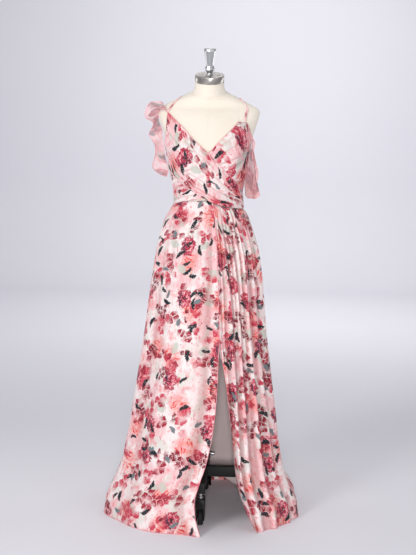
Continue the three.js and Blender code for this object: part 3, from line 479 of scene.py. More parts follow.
# Casters.
# Four swivel casters: a plated stem in the leg, a pressed and coated hood, and a moulded rubber wheel that
# turns on the hood's axle.
# Matt black with grey scuffs.
rubber, tree, shader, place = surface("moulded_rubber")
scuff = node(tree, "ShaderNodeTexNoise", {"Vector": place, "Scale": 120, "Detail": 4, "Roughness": 0.7})
tone = node(tree, "ShaderNodeMix", {"Factor": scuff, "A": "#0c0c0d", "B": "#1a1a1c"}, data_type="RGBA")
relief = node(tree, "ShaderNodeBump", {"Height": scuff, "Distance": 0.08 * MM})
feed(tree, shader, {"Base Color": tone, "Roughness": 0.75, "Normal": relief})

for name in ("front", "right", "back", "left"):
    for kind, body_name, finish, material, bevel, slot in (
        ("stem", "dressed_form", "plated", chrome, 0.5, "chrome"),
        ("hood", f"caster_{name}", "pressed", black, 1.3, "black_metal"),
        ("wheel", f"wheel_{name}", "moulded", rubber, 0.6, "rubber"),
    ):
        piece = finer(f"caster_{name}_{kind}", f"caster_{name}_{kind}_{finish}", material, bevel)
        stand_in(piece, body_name, f"caster_{name}_{kind}")

# Lining.
# A plain woven lining in a soft pinkish beige, cut in two halves that part at the slit in front, gathered
# into the waist seam and left to hang free, so that its hem is uneven.
# The height of the waist seam by angle.
WAIST = table("""
    angle z
    -180  1068
    -90   1074
    -45   1090
    -5    1097
    18    1080
    50    1070
    90    1064
    180   1068
""")
WAIST_GAP = 0.4  # mm, above and below that seam
waist_at = lambda angle: read(WAIST, "z", (np.asarray(angle, float) + 180) % 360 - 180)
# By height: its half width, and its depth in front and behind.
LINING = table("""
    z    half  front back
    1102 116   84    87.2
    1068 119.6 87    91
    1038 129.6 91.6  99.6
    1009 138.4 97    108
    959  155   105   122
    906  165.5 111   130
    818  173.5 124   141
    639  189.5 154.5 173.5
    410  218   189   212
    157  253   225   249
    0    266   240   266
""")
# By height: the angle of each half's edge at the slit, and how far its folds stand out.
LINING_SLIT = table("""
    z    left right wave
    1102 11.6 12.2  0
    619  11.6 12.2  2
    466  6    29    3.5
    312  0    42    4
    0    -14  62    4.5
""")
LINING_FOLDS = 3  # in each half
LINING_SEAM = 0.05  # mm, from the centre back to each half
# The height of its hem by angle.
LINING_HEM = table("""
    angle z
    -180  74
    -90   92
    -14   107
    62    29
    120   6
    150   10
    166   46
    180   74
""")
# Smooth, pale and soft, with faint lengthwise threads. Some light comes through.
lining_cloth, tree, shader, place = surface("plain_woven_lining", "UV")
clouds = node(tree, "ShaderNodeTexNoise", {"Vector": place, "Scale": 7, "Detail": 3})
long = node(tree, "ShaderNodeMapping", {"Vector": place, "Scale": (1, 0.12, 1)})
thread = node(tree, "ShaderNodeTexNoise", {"Vector": long, "Scale": 900, "Detail": 2})
tone = node(tree, "ShaderNodeMix", {"Factor": clouds, "A": "#fcebea", "B": "#fff4f4"}, data_type="RGBA")
relief = node(tree, "ShaderNodeBump", {"Height": thread, "Distance": 0.05 * MM})
feed(tree, shader, {"Base Color": tone, "Roughness": 0.5, "Sheen Weight": 0.2, "Normal": relief})
see_light_through(tree, shader, tone, 0.2)


def shell(piece, thick_mm):
    """Gives a cloth its thickness, behind its outer face."""
    wall = piece.modifiers.new("wall", "SOLIDIFY")
    wall.thickness = thick_mm / 1000
    wall.offset = -1
    return piece


# Soft creases: where on the half (0 at the slit, 1 at the centre back), from and to what share of the
# length, how wide, how deep in millimetres, and how far it slants.
LINING_CREASES = table("""
    at   start stop wide  deep slant
    0.03 0.42  1.02 0.012 -3.5 0.06
    0.09 0.3   0.9  0.026 2.2  0.02
    0.17 0.5   1.05 0.016 -4   -0.07
    0.3  0.1   0.8  0.03  2    0.03
    0.45 0.35  1.05 0.03  -2.4 -0.03
    0.62 0.05  0.6  0.025 1.8  0.02
    0.78 0.4   1.05 0.03  2.2  0.03
    0.9  0.15  0.85 0.02  -1.8 -0.01
""")


def creases(rows, across_at, down_at):
    """How far a set of creases stands out at each place of a piece, in millimetres."""
    total = 0
    for k in range(len(rows["at"])):
        at, start, stop, wide, deep, slant = (rows[name][k] for name in rows)
        length = np.clip((down_at - start) / (stop - start), 0, 1)
        window = np.sin(np.pi * length) ** 0.7 if stop < 1 else np.sin(np.pi / 2 * length)
        total = total + deep * window * np.exp(-(((across_at - at - slant * length) / wide) ** 2))
    return total


for name, side in (("left", -1), ("right", 1)):
    p, q = np.meshgrid(np.linspace(0, 1, 121), np.linspace(0, 1, 101))
    top = waist_at(LINING_SLIT[name][-1] + (side * 180 - LINING_SLIT[name][-1]) * p) - WAIST_GAP
    hem = read(LINING_HEM, "z", LINING_SLIT[name][0] + (side * 180 - LINING_SLIT[name][0]) * p)
    z = top + (hem - top) * q
    seam = side * (180 - np.degrees(LINING_SEAM / read(LINING, "half", z)))
    edge = read(LINING_SLIT, name, z)
    angle = np.radians(edge + (seam - edge) * p)
    fold = read(LINING_SLIT, "wave", z) * np.cos(2 * np.pi * LINING_FOLDS * (1 - p))
    fold = fold + creases(LINING_CREASES, p, q)
    s, c = np.sin(angle), np.cos(angle)
    deep = np.where(c > 0, read(LINING, "front", z), read(LINING, "back", z))
    grid = metres(np.stack([(read(LINING, "half", z) + fold) * s, -(deep + fold) * c, z], -1))
    uv = cloth_uv(grid)
    half = shell(grid_mesh(f"lining_cloth_{name}", grid, uv, lining_cloth), 0.5)
    stand_in(half, "dressed_form", f"lining_{name}")
    size = cut_size(uv, -1)

# Printed chiffon.
# A sheer crepe chiffon, printed with loose watercolour flowers on a clouded pink and white ground. The
# flowers, petals and leaves are a general design: each kind is scattered at its own spacing and turned by
# chance. All sizes are in metres on the flat cut.
flowers = bpy.data.node_groups.new("watercolour_flowers", "ShaderNodeTree")
flowers.interface.new_socket("Place", in_out="INPUT", socket_type="NodeSocketVector")
flowers.interface.new_socket("Color", in_out="OUTPUT", socket_type="NodeSocketColor")
start = flowers.nodes.new("NodeGroupInput")
PRINT_SCALE = 1.12  # the printed motifs are a little smaller than the sizes below
wet = node(flowers, "ShaderNodeVectorMath", {0: start, "Scale": PRINT_SCALE}, operation="SCALE")
# The place is pushed about twice, so that every edge looks brushed.
for fine, push in ((65, 0.014), (260, 0.0055)):
    noise = node(flowers, "ShaderNodeTexNoise", {"Vector": wet, "Scale": fine, "Detail": 2, "Roughness": 0.6})
    wander = {0: noise.outputs["Color"], 1: (push, push, 0), 2: (-push / 2, -push / 2, 0)}
    wander = node(flowers, "ShaderNodeVectorMath", wander, operation="MULTIPLY_ADD")
    wet = node(flowers, "ShaderNodeVectorMath", {0: wet, 1: wander}, operation="ADD")
# Soft chance values over the cloth. Each has its number to the metre, its detail and its roughness.
CLOUDS = {
    "wash": (11, 3, 0.5),
    "grey": (15, 2, 0.5),
    "blush": (20, 4, 0.65),
    "patch": (9, 1, 0.5),
    "mottle": (60, 3, 0.6),
    "scratch": (190, 2, 0.5),
    "fleck": (150, 2, 0.5),
    "swirl": (85, 3, 0.6),
}
cloud = {}
for name, (scale, detail, rough) in CLOUDS.items():
    noise = {"Vector": wet, "Scale": scale, "Detail": detail, "Roughness": rough}
    cloud[name] = node(flowers, "ShaderNodeTexNoise", noise)


def brushed(place, turn, across, along, detail=3, rough=0.6):
    """Brush marks: a chance value drawn out one way, with its numbers to the metre across and along."""
    drawn = {"Vector": place, "Rotation": (0, 0, turn), "Scale": (across, along, 1)}
    drawn = node(flowers, "ShaderNodeMapping", drawn)
    noise = {"Vector": drawn, "Scale": 1, "Detail": detail, "Roughness": rough}
    return node(flowers, "ShaderNodeTexNoise", noise)


def cells(spacing, jitter, shift, **settings):
    """The place as moved by this shift, and the cells about this far apart on it."""
    moved = node(flowers, "ShaderNodeVectorMath", {0: wet, 1: (shift, shift * 1.7, 0)}, operation="ADD")
    sized = {"Vector": moved, "Scale": 1 / spacing, "Randomness": jitter}
    return moved, node(flowers, "ShaderNodeTexVoronoi", sized, voronoi_dimensions="2D", **settings)


def scatter(spacing, jitter, shift, turned=1.0):
    """Motif centres about this far apart: how far it is along and across from the nearest one, its place,
    its chance value, and the place as turned with it."""
    moved, nearest = cells(spacing, jitter, shift)
    middle = nearest.outputs["Position"]
    chance = node(flowers, "ShaderNodeSeparateColor", {"Color": nearest.outputs["Color"]})
    away = node(flowers, "ShaderNodeVectorMath", {0: moved, 1: middle}, operation="SUBTRACT")
    angle = {0: chance.outputs[0], 1: 2 * math.pi * turned}
    angle = node(flowers, "ShaderNodeMath", angle, operation="MULTIPLY")
    spun = {"Vector": away, "Angle": angle}
    spun = node(flowers, "ShaderNodeVectorRotate", spun, rotation_type="Z_AXIS")
    return node(flowers, "ShaderNodeSeparateXYZ", {"Vector": spun}), middle, chance.outputs[1], spun


def oval(spot, length, width, lean=0.0):
    """Zero at a motif's centre and one on the edge of an oval of this length and width, bent by lean."""
    square = node(flowers, "ShaderNodeMath", {0: spot.outputs["X"], 1: 2.0}, operation="POWER")
    bent = {0: square, 1: -lean, 2: spot.outputs["Y"]}
    bent = node(flowers, "ShaderNodeMath", bent, operation="MULTIPLY_ADD")
    place = node(flowers, "ShaderNodeCombineXYZ", {"X": spot.outputs["X"], "Y": bent})
    sized = {0: place, 1: (2 / length, 2 / width, 0)}
    sized = node(flowers, "ShaderNodeVectorMath", sized, operation="MULTIPLY")
    return node(flowers, "ShaderNodeVectorMath", {0: sized}, operation="LENGTH").outputs["Value"]


def paint(under, ink, *limits):
    """Lays an ink over what is already printed. Each limit is a value, where it lets none of the ink through,
    where it lets all through, and where given the least and the most that it lets through."""
    mask = 1.0
    for limit in limits:
        value, none, full, least, most = limit + (0.0, 1.0)[len(limit) - 3 :]
        let = {"Value": value, "From Min": none, "From Max": full, "To Min": least, "To Max": most}
        let = node(flowers, "ShaderNodeMapRange", let, interpolation_type="SMOOTHSTEP")
        mask = node(flowers, "ShaderNodeMath", {0: mask, 1: let}, operation="MULTIPLY")
    return node(flowers, "ShaderNodeMix", {"Factor": mask, "A": under, "B": ink}, data_type="RGBA")


# The ground: white, with pale pink washes, a little grey and a few dry brush marks.
ground = paint("#fdf3f2", "#fad3d6", (cloud["wash"], 0.46, 0.6))
ground = paint(ground, "#eceae4", (cloud["grey"], 0.57, 0.64, 0, 0.85))
ground = paint(ground, "#f7b0b2", (cloud["blush"], 0.52, 0.68, 0, 0.9))
dabs = brushed(wet, -0.9, 75, 34, rough=0.62)
ground = paint(ground, "#f08b95", (dabs, 0.56, 0.62, 0, 0.75), (cloud["mottle"], 0.4, 0.55))
ground = paint(ground, "#fffafa", (brushed(wet, 0.6, 150, 24), 0.57, 0.66, 0, 0.8))
# Coral flowers: a pale wash with a few bright brush strokes that run out from its middle.
spot, middle, chance, spun = scatter(0.17, 0.8, 3.1)
far = oval(spot, 0.125, 0.1)
ground = paint(ground, "#f89c96", (far, 1.0, 0.3), (cloud["mottle"], 0.35, 0.62, 0.3, 0.9))
ground = paint(ground, "#ee4440", (brushed(spun, 0, 105, 26), 0.56, 0.61), (far, 0.9, 0.55))
# Pale grey-green leaves, washed in behind the rest.
spot, middle, chance, spun = scatter(0.1, 0.9, 7.3)
ground = paint(ground, "#d6d9cf", (oval(spot, 0.046, 0.03), 1.05, 0.8, 0, 0.85), (chance, 0.5, 0.51))
# Clusters of dark red petals. Whole petals are kept or left out by one cloud that is read at their middles,
# so they touch along thin light gaps. Each is dense at one side and bleeds out at the other.
for spacing, shift, keep, ink, gap in (
    (0.026, 0.0, 0.615, "#d8485f", 0.0),
    (0.024, 5.7, 0.63, "#b2253f", 0.0006),
    (0.017, 9.4, 0.66, "#8f1830", 0.0004),
):
    spot, middle, chance, spun = scatter(spacing, 0.9, shift)
    border = cells(spacing, 0.9, shift, feature="DISTANCE_TO_EDGE")[1]
    patch = node(flowers, "ShaderNodeTexNoise", {"Vector": middle, "Scale": 13, "Detail": 0})
    shape = (oval(spot, spacing * 1.5, spacing * 1.2), 1.15, 0.95)
    apart = (border, gap / spacing, (gap + 0.001) / spacing)
    bleed = (spot.outputs["X"], spacing * 0.5, -spacing * 0.25, 0.25, 1)
    scratched = (cloud["scratch"], 0.67, 0.61, 0.1, 1)
    ground = paint(ground, ink, (patch, keep, keep + 0.005), apart, shape, bleed, scratched)
# Open roses: loose crimson strokes with light gaps, a small dark middle and a plum shadow on one side.
spot, middle, chance, spun = scatter(0.165, 0.65, 1.9, turned=0.12)
far = oval(spot, 0.054, 0.064)
edge = node(flowers, "ShaderNodeMath", {0: cloud["swirl"], 1: 1.5, 2: far}, operation="MULTIPLY_ADD")
turns = node(flowers, "ShaderNodeMath", {0: edge, 1: 8.0}, operation="MULTIPLY")
turns = node(flowers, "ShaderNodeMath", {0: turns}, operation="SINE")
strokes = brushed(spun, 0.4, 150, 62, detail=2)
flower = paint("#e4647c", "#c52f4d", (strokes, 0.47, 0.53))
flower = paint(flower, "#a01f3b", (turns, 0.6, 0.95, 0, 0.8))
flower = paint(flower, "#fbd5d9", (turns, -0.7, -0.92), (strokes, 0.6, 0.5))
flower = paint(flower, "#562842", (edge, 1.18, 1.26), (edge, 1.62, 1.52), (spot.outputs["X"], 0.006, 0.013))
flower = paint(flower, "#4e1c2c", (edge, 0.98, 0.86))
scratched = (cloud["scratch"], 0.67, 0.61, 0.2, 1)
ground = paint(ground, flower, (edge, 1.86, 1.74), (chance, 0.12, 0.13), scratched)
# Dark leaves and small grey drops, over all the rest.
for shift, space, long, wide, lean, ink in (
    (2.3, 0.1, 0.042, 0.015, 13, "#1d252e"),
    (8.1, 0.11, 0.034, 0.0125, -16, "#2b2f37"),
    (4.9, 0.12, 0.032, 0.015, 9, "#7f898e"),
):
    spot, middle, chance, spun = scatter(space, 0.9, shift)
    shape = (oval(spot, long, wide, lean), 1.1, 0.9)
    ground = paint(ground, ink, shape, (chance, 0.4, 0.41), (cloud["scratch"], 0.7, 0.64))
# Short bare brush marks across everything, and small flecks of the same red.
bare = brushed(wet, 0.9, 330, 85, detail=2)
ground = paint(ground, "#fdf1f1", (bare, 0.66, 0.69, 0, 0.85), (cloud["patch"], 0.45, 0.52))
ground = paint(ground, "#b52d44", (cloud["fleck"], 0.67, 0.7), (cloud["patch"], 0.5, 0.56, 0, 0.9))
node(flowers, "NodeGroupOutput", {"Color": ground})


def hollows(grid, reach, deep_mm, axis):
    """Where a cloth lies below the mean of the points within reach along one axis of its grid, from 0 to 1 at
    this depth. It gives how much shade is painted into the hollows of folds."""
    ends = [(0, 0)] * 3
    ends[axis] = (reach, reach)
    longer = np.pad(grid, ends, mode="reflect", reflect_type="odd")
    count = grid.shape[axis]
    mean = sum(np.take(longer, range(k, k + count), axis) for k in range(2 * reach + 1)) / (2 * reach + 1)
    away = grid[..., :2] - np.array([AXIS.x, AXIS.y])
    away = away / np.linalg.norm(away, axis=-1, keepdims=True)
    below = ((mean - grid)[..., :2] * away).sum(-1)
    return np.clip(below / (deep_mm / 1000), 0, 1) ** 0.8


def chiffon(name, alpha, moved, turn=0.0, through=0.3, pale=0.0):
    """The printed chiffon, cut from its own stretch of the roll. It is matt and grainy, with painted shade
    in the hollows of its folds, and lit from behind where light falls through."""
    material, tree, shader, place = surface(name, "UV")
    cut = node(tree, "ShaderNodeMapping", {"Vector": place, "Location": moved, "Rotation": (0, 0, turn)})
    design = node(tree, "ShaderNodeGroup", node_tree=flowers)
    feed(tree, design, {"Place": cut})
    thin = {"Factor": pale, "A": design.outputs["Color"], "B": "#f5dfe1"}
    thin = node(tree, "ShaderNodeMix", thin, data_type="RGBA")
    # Painted shade: the colour is multiplied by a dusky pink (#c99692) in the hollows of the folds.
    fold_shade = node(tree, "ShaderNodeAttribute", attribute_name="fold_shade")
    shaded_print = {"Factor": fold_shade.outputs["Fac"], "A": thin, "B": "#c99692"}
    shaded_print = node(tree, "ShaderNodeMix", shaded_print, data_type="RGBA", blend_type="MULTIPLY")
    crepe = node(tree, "ShaderNodeTexNoise", {"Vector": place, "Scale": 850, "Detail": 2})
    relief = node(tree, "ShaderNodeBump", {"Height": crepe, "Distance": 0.1 * MM})
    feed(tree, shader, {"Base Color": shaded_print, "Roughness": 0.72, "Alpha": alpha, "Normal": relief})
    feed(tree, shader, {"Sheen Weight": 0.1, "Sheen Roughness": 0.45})
    see_light_through(tree, shader, shaded_print, through)
    return material


# Hems and stitches.
# Narrow rolled hems: the raw edge is rolled under, about 2 mm thick, and sewn with one row of small running
# stitches in matching thread. Both are grown along the edges of the pieces, and kept as plain meshes.
def line_tree(name, extra):
    """A Geometry Nodes tree that grows something along lines, with these named inputs beside its geometry:
    the tree, its input sockets, and its lines as a curve."""
    tree = bpy.data.node_groups.new(name, "GeometryNodeTree")
    tree.is_modifier = True
    for label, kind in {"Geometry": "Geometry", **extra, "Material": "Material"}.items():
        tree.interface.new_socket(label, in_out="INPUT", socket_type="NodeSocket" + kind)
    tree.interface.new_socket("Geometry", in_out="OUTPUT", socket_type="NodeSocketGeometry")
    given = tree.nodes.new("NodeGroupInput").outputs
    return tree, given, node(tree, "GeometryNodeMeshToCurve", {"Mesh": given["Geometry"]})


def end_tree(tree, given, made):
    """Ends a tree in real geometry of one material."""
    whole = node(tree, "GeometryNodeRealizeInstances", {"Geometry": made})
    whole = node(tree, "GeometryNodeSetMaterial", {"Geometry": whole, "Material": given["Material"]})
    node(tree, "NodeGroupOutput", {0: whole})


roll_tree, given, line = line_tree("rolled_edge", {"Radius": "Float", "Every": "Float"})
line = node(roll_tree, "GeometryNodeResampleCurve", {"Curve": line, "Length": given["Every"]}, mode="LENGTH")
ring = node(roll_tree, "GeometryNodeCurvePrimitiveCircle", {"Resolution": 8, "Radius": given["Radius"]})
roll = node(roll_tree, "GeometryNodeCurveToMesh", {"Curve": line, "Profile Curve": ring, "Fill Caps": True})
end_tree(roll_tree, given, roll)

extra = {"Every": "Float", "Length": "Float", "Thickness": "Float", "Seed": "Int"}
stitch_tree, given, line = line_tree("running_stitches", extra)
points = {"Curve": line, "Length": given["Every"]}
points = node(stitch_tree, "GeometryNodeCurveToPoints", points, mode="LENGTH").outputs
bead = node(stitch_tree, "GeometryNodeMeshUVSphere", {"Segments": 6, "Rings": 4, "Radius": 0.5})
uneven = {"Min": 0.75, "Max": 1.15, "Seed": given["Seed"]}
uneven = node(stitch_tree, "FunctionNodeRandomValue", uneven, data_type="FLOAT")
length = node(stitch_tree, "ShaderNodeMath", {0: given["Length"], 1: uneven}, operation="MULTIPLY")
size = {"X": given["Thickness"], "Y": given["Thickness"], "Z": length}
size = node(stitch_tree, "ShaderNodeCombineXYZ", size)
sewn = {"Points": points["Points"], "Instance": bead, "Rotation": points["Rotation"], "Scale": size}
end_tree(stitch_tree, given, node(stitch_tree, "GeometryNodeInstanceOnPoints", sewn))

# Three thicknesses of the cloth, so its pink is deep, with blotches where the print runs into the roll.
hem_cloth, tree, shader, place = surface("rolled_chiffon_edge")
blotch = node(tree, "ShaderNodeTexNoise", {"Vector": place, "Scale": 45, "Detail": 3, "Roughness": 0.6})
blotch = node(tree, "ShaderNodeMapRange", {"Value": blotch, "From Min": 0.42, "From Max": 0.6})
tone = node(tree, "ShaderNodeMix", {"Factor": blotch, "A": "#f2aeb4", "B": "#d9707f"}, data_type="RGBA")
feed(tree, shader, {"Base Color": tone, "Roughness": 0.75})
# Polyester thread in matching pink, a little glossy.
thread_pink, tree, shader, place = surface("sewing_thread")
feed(tree, shader, {"Base Color": "#efb3b8", "Roughness": 0.45})


def grown(name, paths, tree, material, values):
    """Grows a tree's pattern along paths of points in metres, and keeps it as a plain mesh."""
    points, edges = [], []
    for path in paths:
        edges += [(len(points) + i, len(points) + i + 1) for i in range(len(path) - 1)]
        points += [tuple(point) for point in path]
    lines = bpy.data.meshes.new(name + "_line")
    lines.from_pydata(points, edges, [])
    source = placed(name + "_line", lines)
    made_by = source.modifiers.new("grown", "NODES")
    made_by.node_group = tree
    sockets = {item.name: item.identifier for item in tree.interface.items_tree if item.in_out == "INPUT"}
    for label, value in {**values, "Material": material}.items():
        made_by[sockets[label]] = value
    result = source.evaluated_get(bpy.context.evaluated_depsgraph_get())
    mesh = bpy.data.meshes.new_from_object(result)
    source.modifiers.remove(made_by)
    bpy.data.objects.remove(source)
    mesh.name = name
    mesh.polygons.foreach_set("use_smooth", [True] * len(mesh.polygons))
    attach(placed(name, mesh), "dressed_form")


ROLL = {"Radius": 0.0010, "Every": 0.004}
STITCHES = {"Every": 0.0035, "Length": 0.0022, "Thickness": 0.0004, "Seed": 11}

# Skirt.
# Four flared panels of chiffon, gathered into the waist seam, closely on the right of the crossing and
# loosely elsewhere, with narrow rolled hems. The front opens in a slit whose right edge is turned in.
# By height: its half width at each side, and its depth in front and behind.
SKIRT = table("""
    z    left right front back
    1102 122  123.5 89    92
    1068 127  127.5 93    96
    1038 142  140   102   107
    1009 153  151   111   119
    959  167  168   125   138
    906  176  182   138   150
    818  188  194   157   169
    639  208  212   189   204
    410  242  243   223   241
    194  280  273   252   276
    122  307  294   265   295
    63   334  327   284   318
    0    344  337   301   336
""")
# By height: how far its close folds and its broad folds stand out.
FOLDS = table("""
    z    gather broad
    1102 0.8    0
    1068 1.3    0
    1019 2.8    0.8
    906  4.6    2.6
    639  3.8    6.5
    410  2.4    8.5
    194  1.6    9
    63   1.2    8
    0    1      7
""")
# By the share of the way round: the angle at the waist, knee and hem, the folds so far, and how closely it
# is gathered.
ROUND = table("""
    u    waist knee hem  folds tight
    0    10    12   -3   0     0.5
    0.06 -3    -12  -20  1     0.6
    0.2  -48   -52  -56  3     0.3
    0.32 -90   -90  -92  5     0.4
    0.49 -180  -180 -180 11    0.5
    0.66 -270  -270 -268 17    0.6
    0.77 -296  -300 -294 19    0.8
    0.93 -343  -336 -328 26    1
    1    -350  -348 -310 28    0.9
""")
# By height: the angle of each edge, and what share of its way out from the axis the right one keeps.
SLIT = table("""
    z   left right turned
    655 12   12    1
    578 11   15    0.97
    467 9.4  20.5  0.88
    375 7.4  24.5  0.82
    309 5.2  27.5  0.78
    242 2.2  30.5  0.76
    158 -3   34.5  0.72
    110 -5.1 37.5  0.69
    60  -4.2 41    0.66
    0   -1.2 51    0.61
""")
SLIT_TOP = 655  # mm
SLIT_WIDTH = 0.16  # share of the way round that the slit pulls on, each side
TURN_WIDTH = 0.07  # share of the way round that is turned in at the slit's right edge
ease = lambda t: t * t * (3 - 2 * t)


def skirt_at(u, v, out=0.0):
    """Points of the skirt, u round it from the slit's left edge and v from the waist down to the hem."""
    top = waist_at(read(ROUND, "waist", u)) - WAIST_GAP
    z = top * (1 - v)
    above = ease(np.clip((top - z) / (top - SLIT_TOP), 0, 1))
    below = np.clip((SLIT_TOP - z) / SLIT_TOP, 0, 1)
    level = lambda where: (
        (read(ROUND, "waist", where) * (1 - above) + read(ROUND, "knee", where) * above) * (1 - below)
        + read(ROUND, "hem", where) * below
    )
    turn = level(u)
    open_here = z < SLIT_TOP
    for edge, side in ((read(SLIT, "left", z), 0.0), (read(SLIT, "right", z) - 360, 1.0)):
        plain = read(ROUND, "knee", side) * (1 - below) + read(ROUND, "hem", side) * below
        pull = (edge - plain) * ease(np.clip(1 - np.abs(u - side) / SLIT_WIDTH, 0, 1))
        turn = turn + np.where(open_here, pull, 0)
    tucked = ease(np.clip(1 - (1 - u) / TURN_WIDTH, 0, 1))
    keep = np.where(open_here, 1 + (read(SLIT, "turned", z) - 1) * tucked, 1)
    folds = read(ROUND, "folds", u)  # made uneven in their spacing and their depth
    phase = 2 * np.pi * (folds + 0.16 * np.sin(2.3 * folds))
    uneven = 0.8 + 0.3 * np.sin(1.7 * folds + 1)
    close = read(ROUND, "tight", u) * read(FOLDS, "gather", z) * np.cos(phase)
    fold = uneven * (close + read(FOLDS, "broad", z) * np.cos(phase / 2 + 0.6 * np.sin(folds))) + out
    s, c = np.sin(np.radians(turn)), np.cos(np.radians(turn))
    wide = np.where(s < 0, read(SKIRT, "left", z), read(SKIRT, "right", z)) * keep
    deep = np.where(c > 0, read(SKIRT, "front", z), read(SKIRT, "back", z)) * keep
    return np.stack([(wide + fold) * s, -(deep + fold) * c, z], -1)


# Creases of the skirt, in the same columns as the lining's. "at" is the place round it.
SKIRT_CREASES = table("""
    at    start stop wide  deep slant
    0.012 0.02  0.9  0.006 3.2  0
    0.035 0     0.62 0.008 -2.6 0.018
    0.06  0     0.45 0.007 2.6  0.02
    0.085 0.25  1.02 0.012 2.8  0.01
    0.12  0.05  0.75 0.014 -2.4 0.01
    0.15  0.3   1.02 0.012 2.6  0.02
    0.19  0     0.35 0.008 1.8  0.01
    0.22  0.15  0.9  0.016 -2.6 0
    0.26  0.35  1.02 0.013 2.8  0.01
    0.3   0.02  0.6  0.01  2.2  -0.01
    0.35  0.05  0.8  0.009 2.4  0.01
    0.39  0.3   1.02 0.012 -2.6 0
    0.44  0     0.55 0.008 2.4  0.01
    0.48  0.2   1.02 0.01  2.4  0
    0.53  0     0.6  0.008 -2.2 -0.01
    0.58  0.25  1.02 0.012 2.8  0.01
    0.62  0.05  0.7  0.009 2.2  0
    0.68  0.2   1.02 0.012 -2.4 0.01
    0.72  0     0.5  0.008 2.2  0
    0.76  0.3   1.02 0.012 2.6  0
    0.8   0.02  0.6  0.007 -2.4 0.01
    0.84  0.1   0.85 0.008 2.6  0
    0.88  0     0.55 0.006 2.2  0.01
    0.91  0.25  1.02 0.01  -2.8 0
    0.95  0.05  0.8  0.007 2.8  0
    0.975 0.3   1.02 0.006 2    0
""")
# Each panel: its name, the share of the way round where it starts and ends, and its columns.
SKIRT_PANELS = [
    ("front_left", 0.0, 0.32, 150),
    ("back_left", 0.32, 0.49, 110),
    ("back_right", 0.49, 0.66, 110),
    ("front_right", 0.66, 1.0, 250),
]
TUCK = 5.5  # mm that the top edge turns in to the seam
GATHER_RUN = 0.3  # share of the length over which the waist's gathers die away
HEM_LIFT = 0.001  # metres, so that the roll's underside is level with the hem
STITCH_SHARE = 0.0055  # how far the hem's stitches lie from its edge, as a share of the length
STITCH_PROUD = 0.35  # mm
GATHERS = 115  # in the whole waist
SKIRT_ROWS = 170
FULLNESS = 0.9  # extra cloth for each step of closeness above CLOSE_FROM
CLOSE_FROM = 0.35
CUT_APART = 2.4  # metres of the roll that the panels are spread over
hem_rolls, hem_stitches = [], []
skirt_print = chiffon("printed_crepe_chiffon_skirt", 1.0, (0.93, 0.57, 0))
for name, first, last, columns in SKIRT_PANELS:
    u, v = np.meshgrid(np.linspace(first, last, columns + 1), np.linspace(0, 1, SKIRT_ROWS + 1))
    tight = read(ROUND, "tight", u)
    # Small gathers at the seam, uneven in spacing and length.
    small = np.sin(2 * np.pi * (GATHERS * u + 0.7 * np.sin(31 * u))) * (0.6 + 0.4 * np.sin(47 * u + 2))
    run = np.clip(1 - v / (GATHER_RUN * (0.7 + 0.3 * np.sin(53 * u))), 0, 1) ** 1.5
    out = 1.15 * small * run * np.clip((tight - CLOSE_FROM) * 1.7, 0.1, 1) + creases(SKIRT_CREASES, u, v)
    out = out * np.clip(v / 0.02, 0.25, 1) - TUCK * np.exp(-v / 0.0055)
    grid = metres(skirt_at(u, v, out))
    hem_rolls.append(grid[-1] + np.array([0, 0, HEM_LIFT]))
    hem_stitches.append(metres(skirt_at(u[0], 1 - STITCH_SHARE + 0 * u[0], out[-2] + STITCH_PROUD)))
    if first == 0.0:
        hem_rolls.append(grid[1:-1, 0])
        hem_stitches.append(metres(skirt_at(0.0035 + 0 * v[8:, 0], v[8:, 0], out[8:, 0] + STITCH_PROUD)))
    if last == 1.0:
        hem_rolls.append(grid[1:-1, -1])
    full = 1 + FULLNESS * np.clip(tight - CLOSE_FROM, 0, 1) * np.clip(1 - v / 0.45, 0, 1)
    uv = cloth_uv(grid, ease=(full[:, 1:] + full[:, :-1]) / 2)
    uv[..., 0] += (first + last) / 2 * CUT_APART
    # Painted shade in the hollows of the broad folds and the small gathers.
    fold_shade = np.maximum(0.6 * hollows(grid, 9, 2.8, 1), 0.3 * hollows(grid, 3, 0.7, 1))
    panel = shell(grid_mesh(f"skirt_{name}_chiffon", grid, uv, skirt_print, fold_shade=fold_shade), 0.5)
    stand_in(panel, "dressed_form", f"skirt_{name}")
    size = cut_size(uv, -1)

grown("skirt_hem_rolled", hem_rolls, roll_tree, hem_cloth, ROLL)
grown("skirt_hem_stitches", hem_stitches, stitch_tree, thread_pink, STITCHES)

# Bodice.
# Two draped chiffon fronts, pleated by hand and crossed at the bust, and two plain backs. The neck edges
# are turned under. The pleats run from each shoulder to the other side of the waist.
# The four edges of each front: its neck, its foot, its own armhole and side, and the other side's seam.
OVER = {
    "neck": table("""
        s    angle z
        0    -50   1392
        0.2  -32   1342
        0.38 -17   1296
        0.55 0     1254
        0.78 29    1184
        1    90    1101
    """),
    "low": table("""
        s    angle z
        0    -90   1207
        0.2  -56   1169
        0.38 -36   1140
        0.55 -10   1107
        0.78 22    1079
        1    90    1064
    """),
    "start": table("""
        t    angle z
        0    -50   1392
        0.3  -58   1339
        0.5  -72   1298
        0.68 -89.7 1264
        1    -90   1207
    """),
    "end": table("""
        t angle z
        0 90    1101
        1 90    1064
    """),
}
UNDER = {
    "neck": table("""
        s    angle z
        0    36    1361
        0.2  26    1328
        0.38 13    1294
        0.55 0     1257
        0.78 -30   1229
        1    -90   1220
    """),
    "low": table("""
        s    angle z
        0    90    1080
        0.2  62    1084
        0.38 32    1092
        0.55 -2    1102
        0.78 -45   1090
        1    -90   1074
    """),
    "start": table("""
        t    angle z
        0    36    1361
        0.08 47    1359
        0.25 62    1324
        0.4  77    1291
        0.52 89.7  1264
        1    90    1080
    """),
    "end": table("""
        t angle z
        0 -90   1220
        1 -90   1074
    """),
}
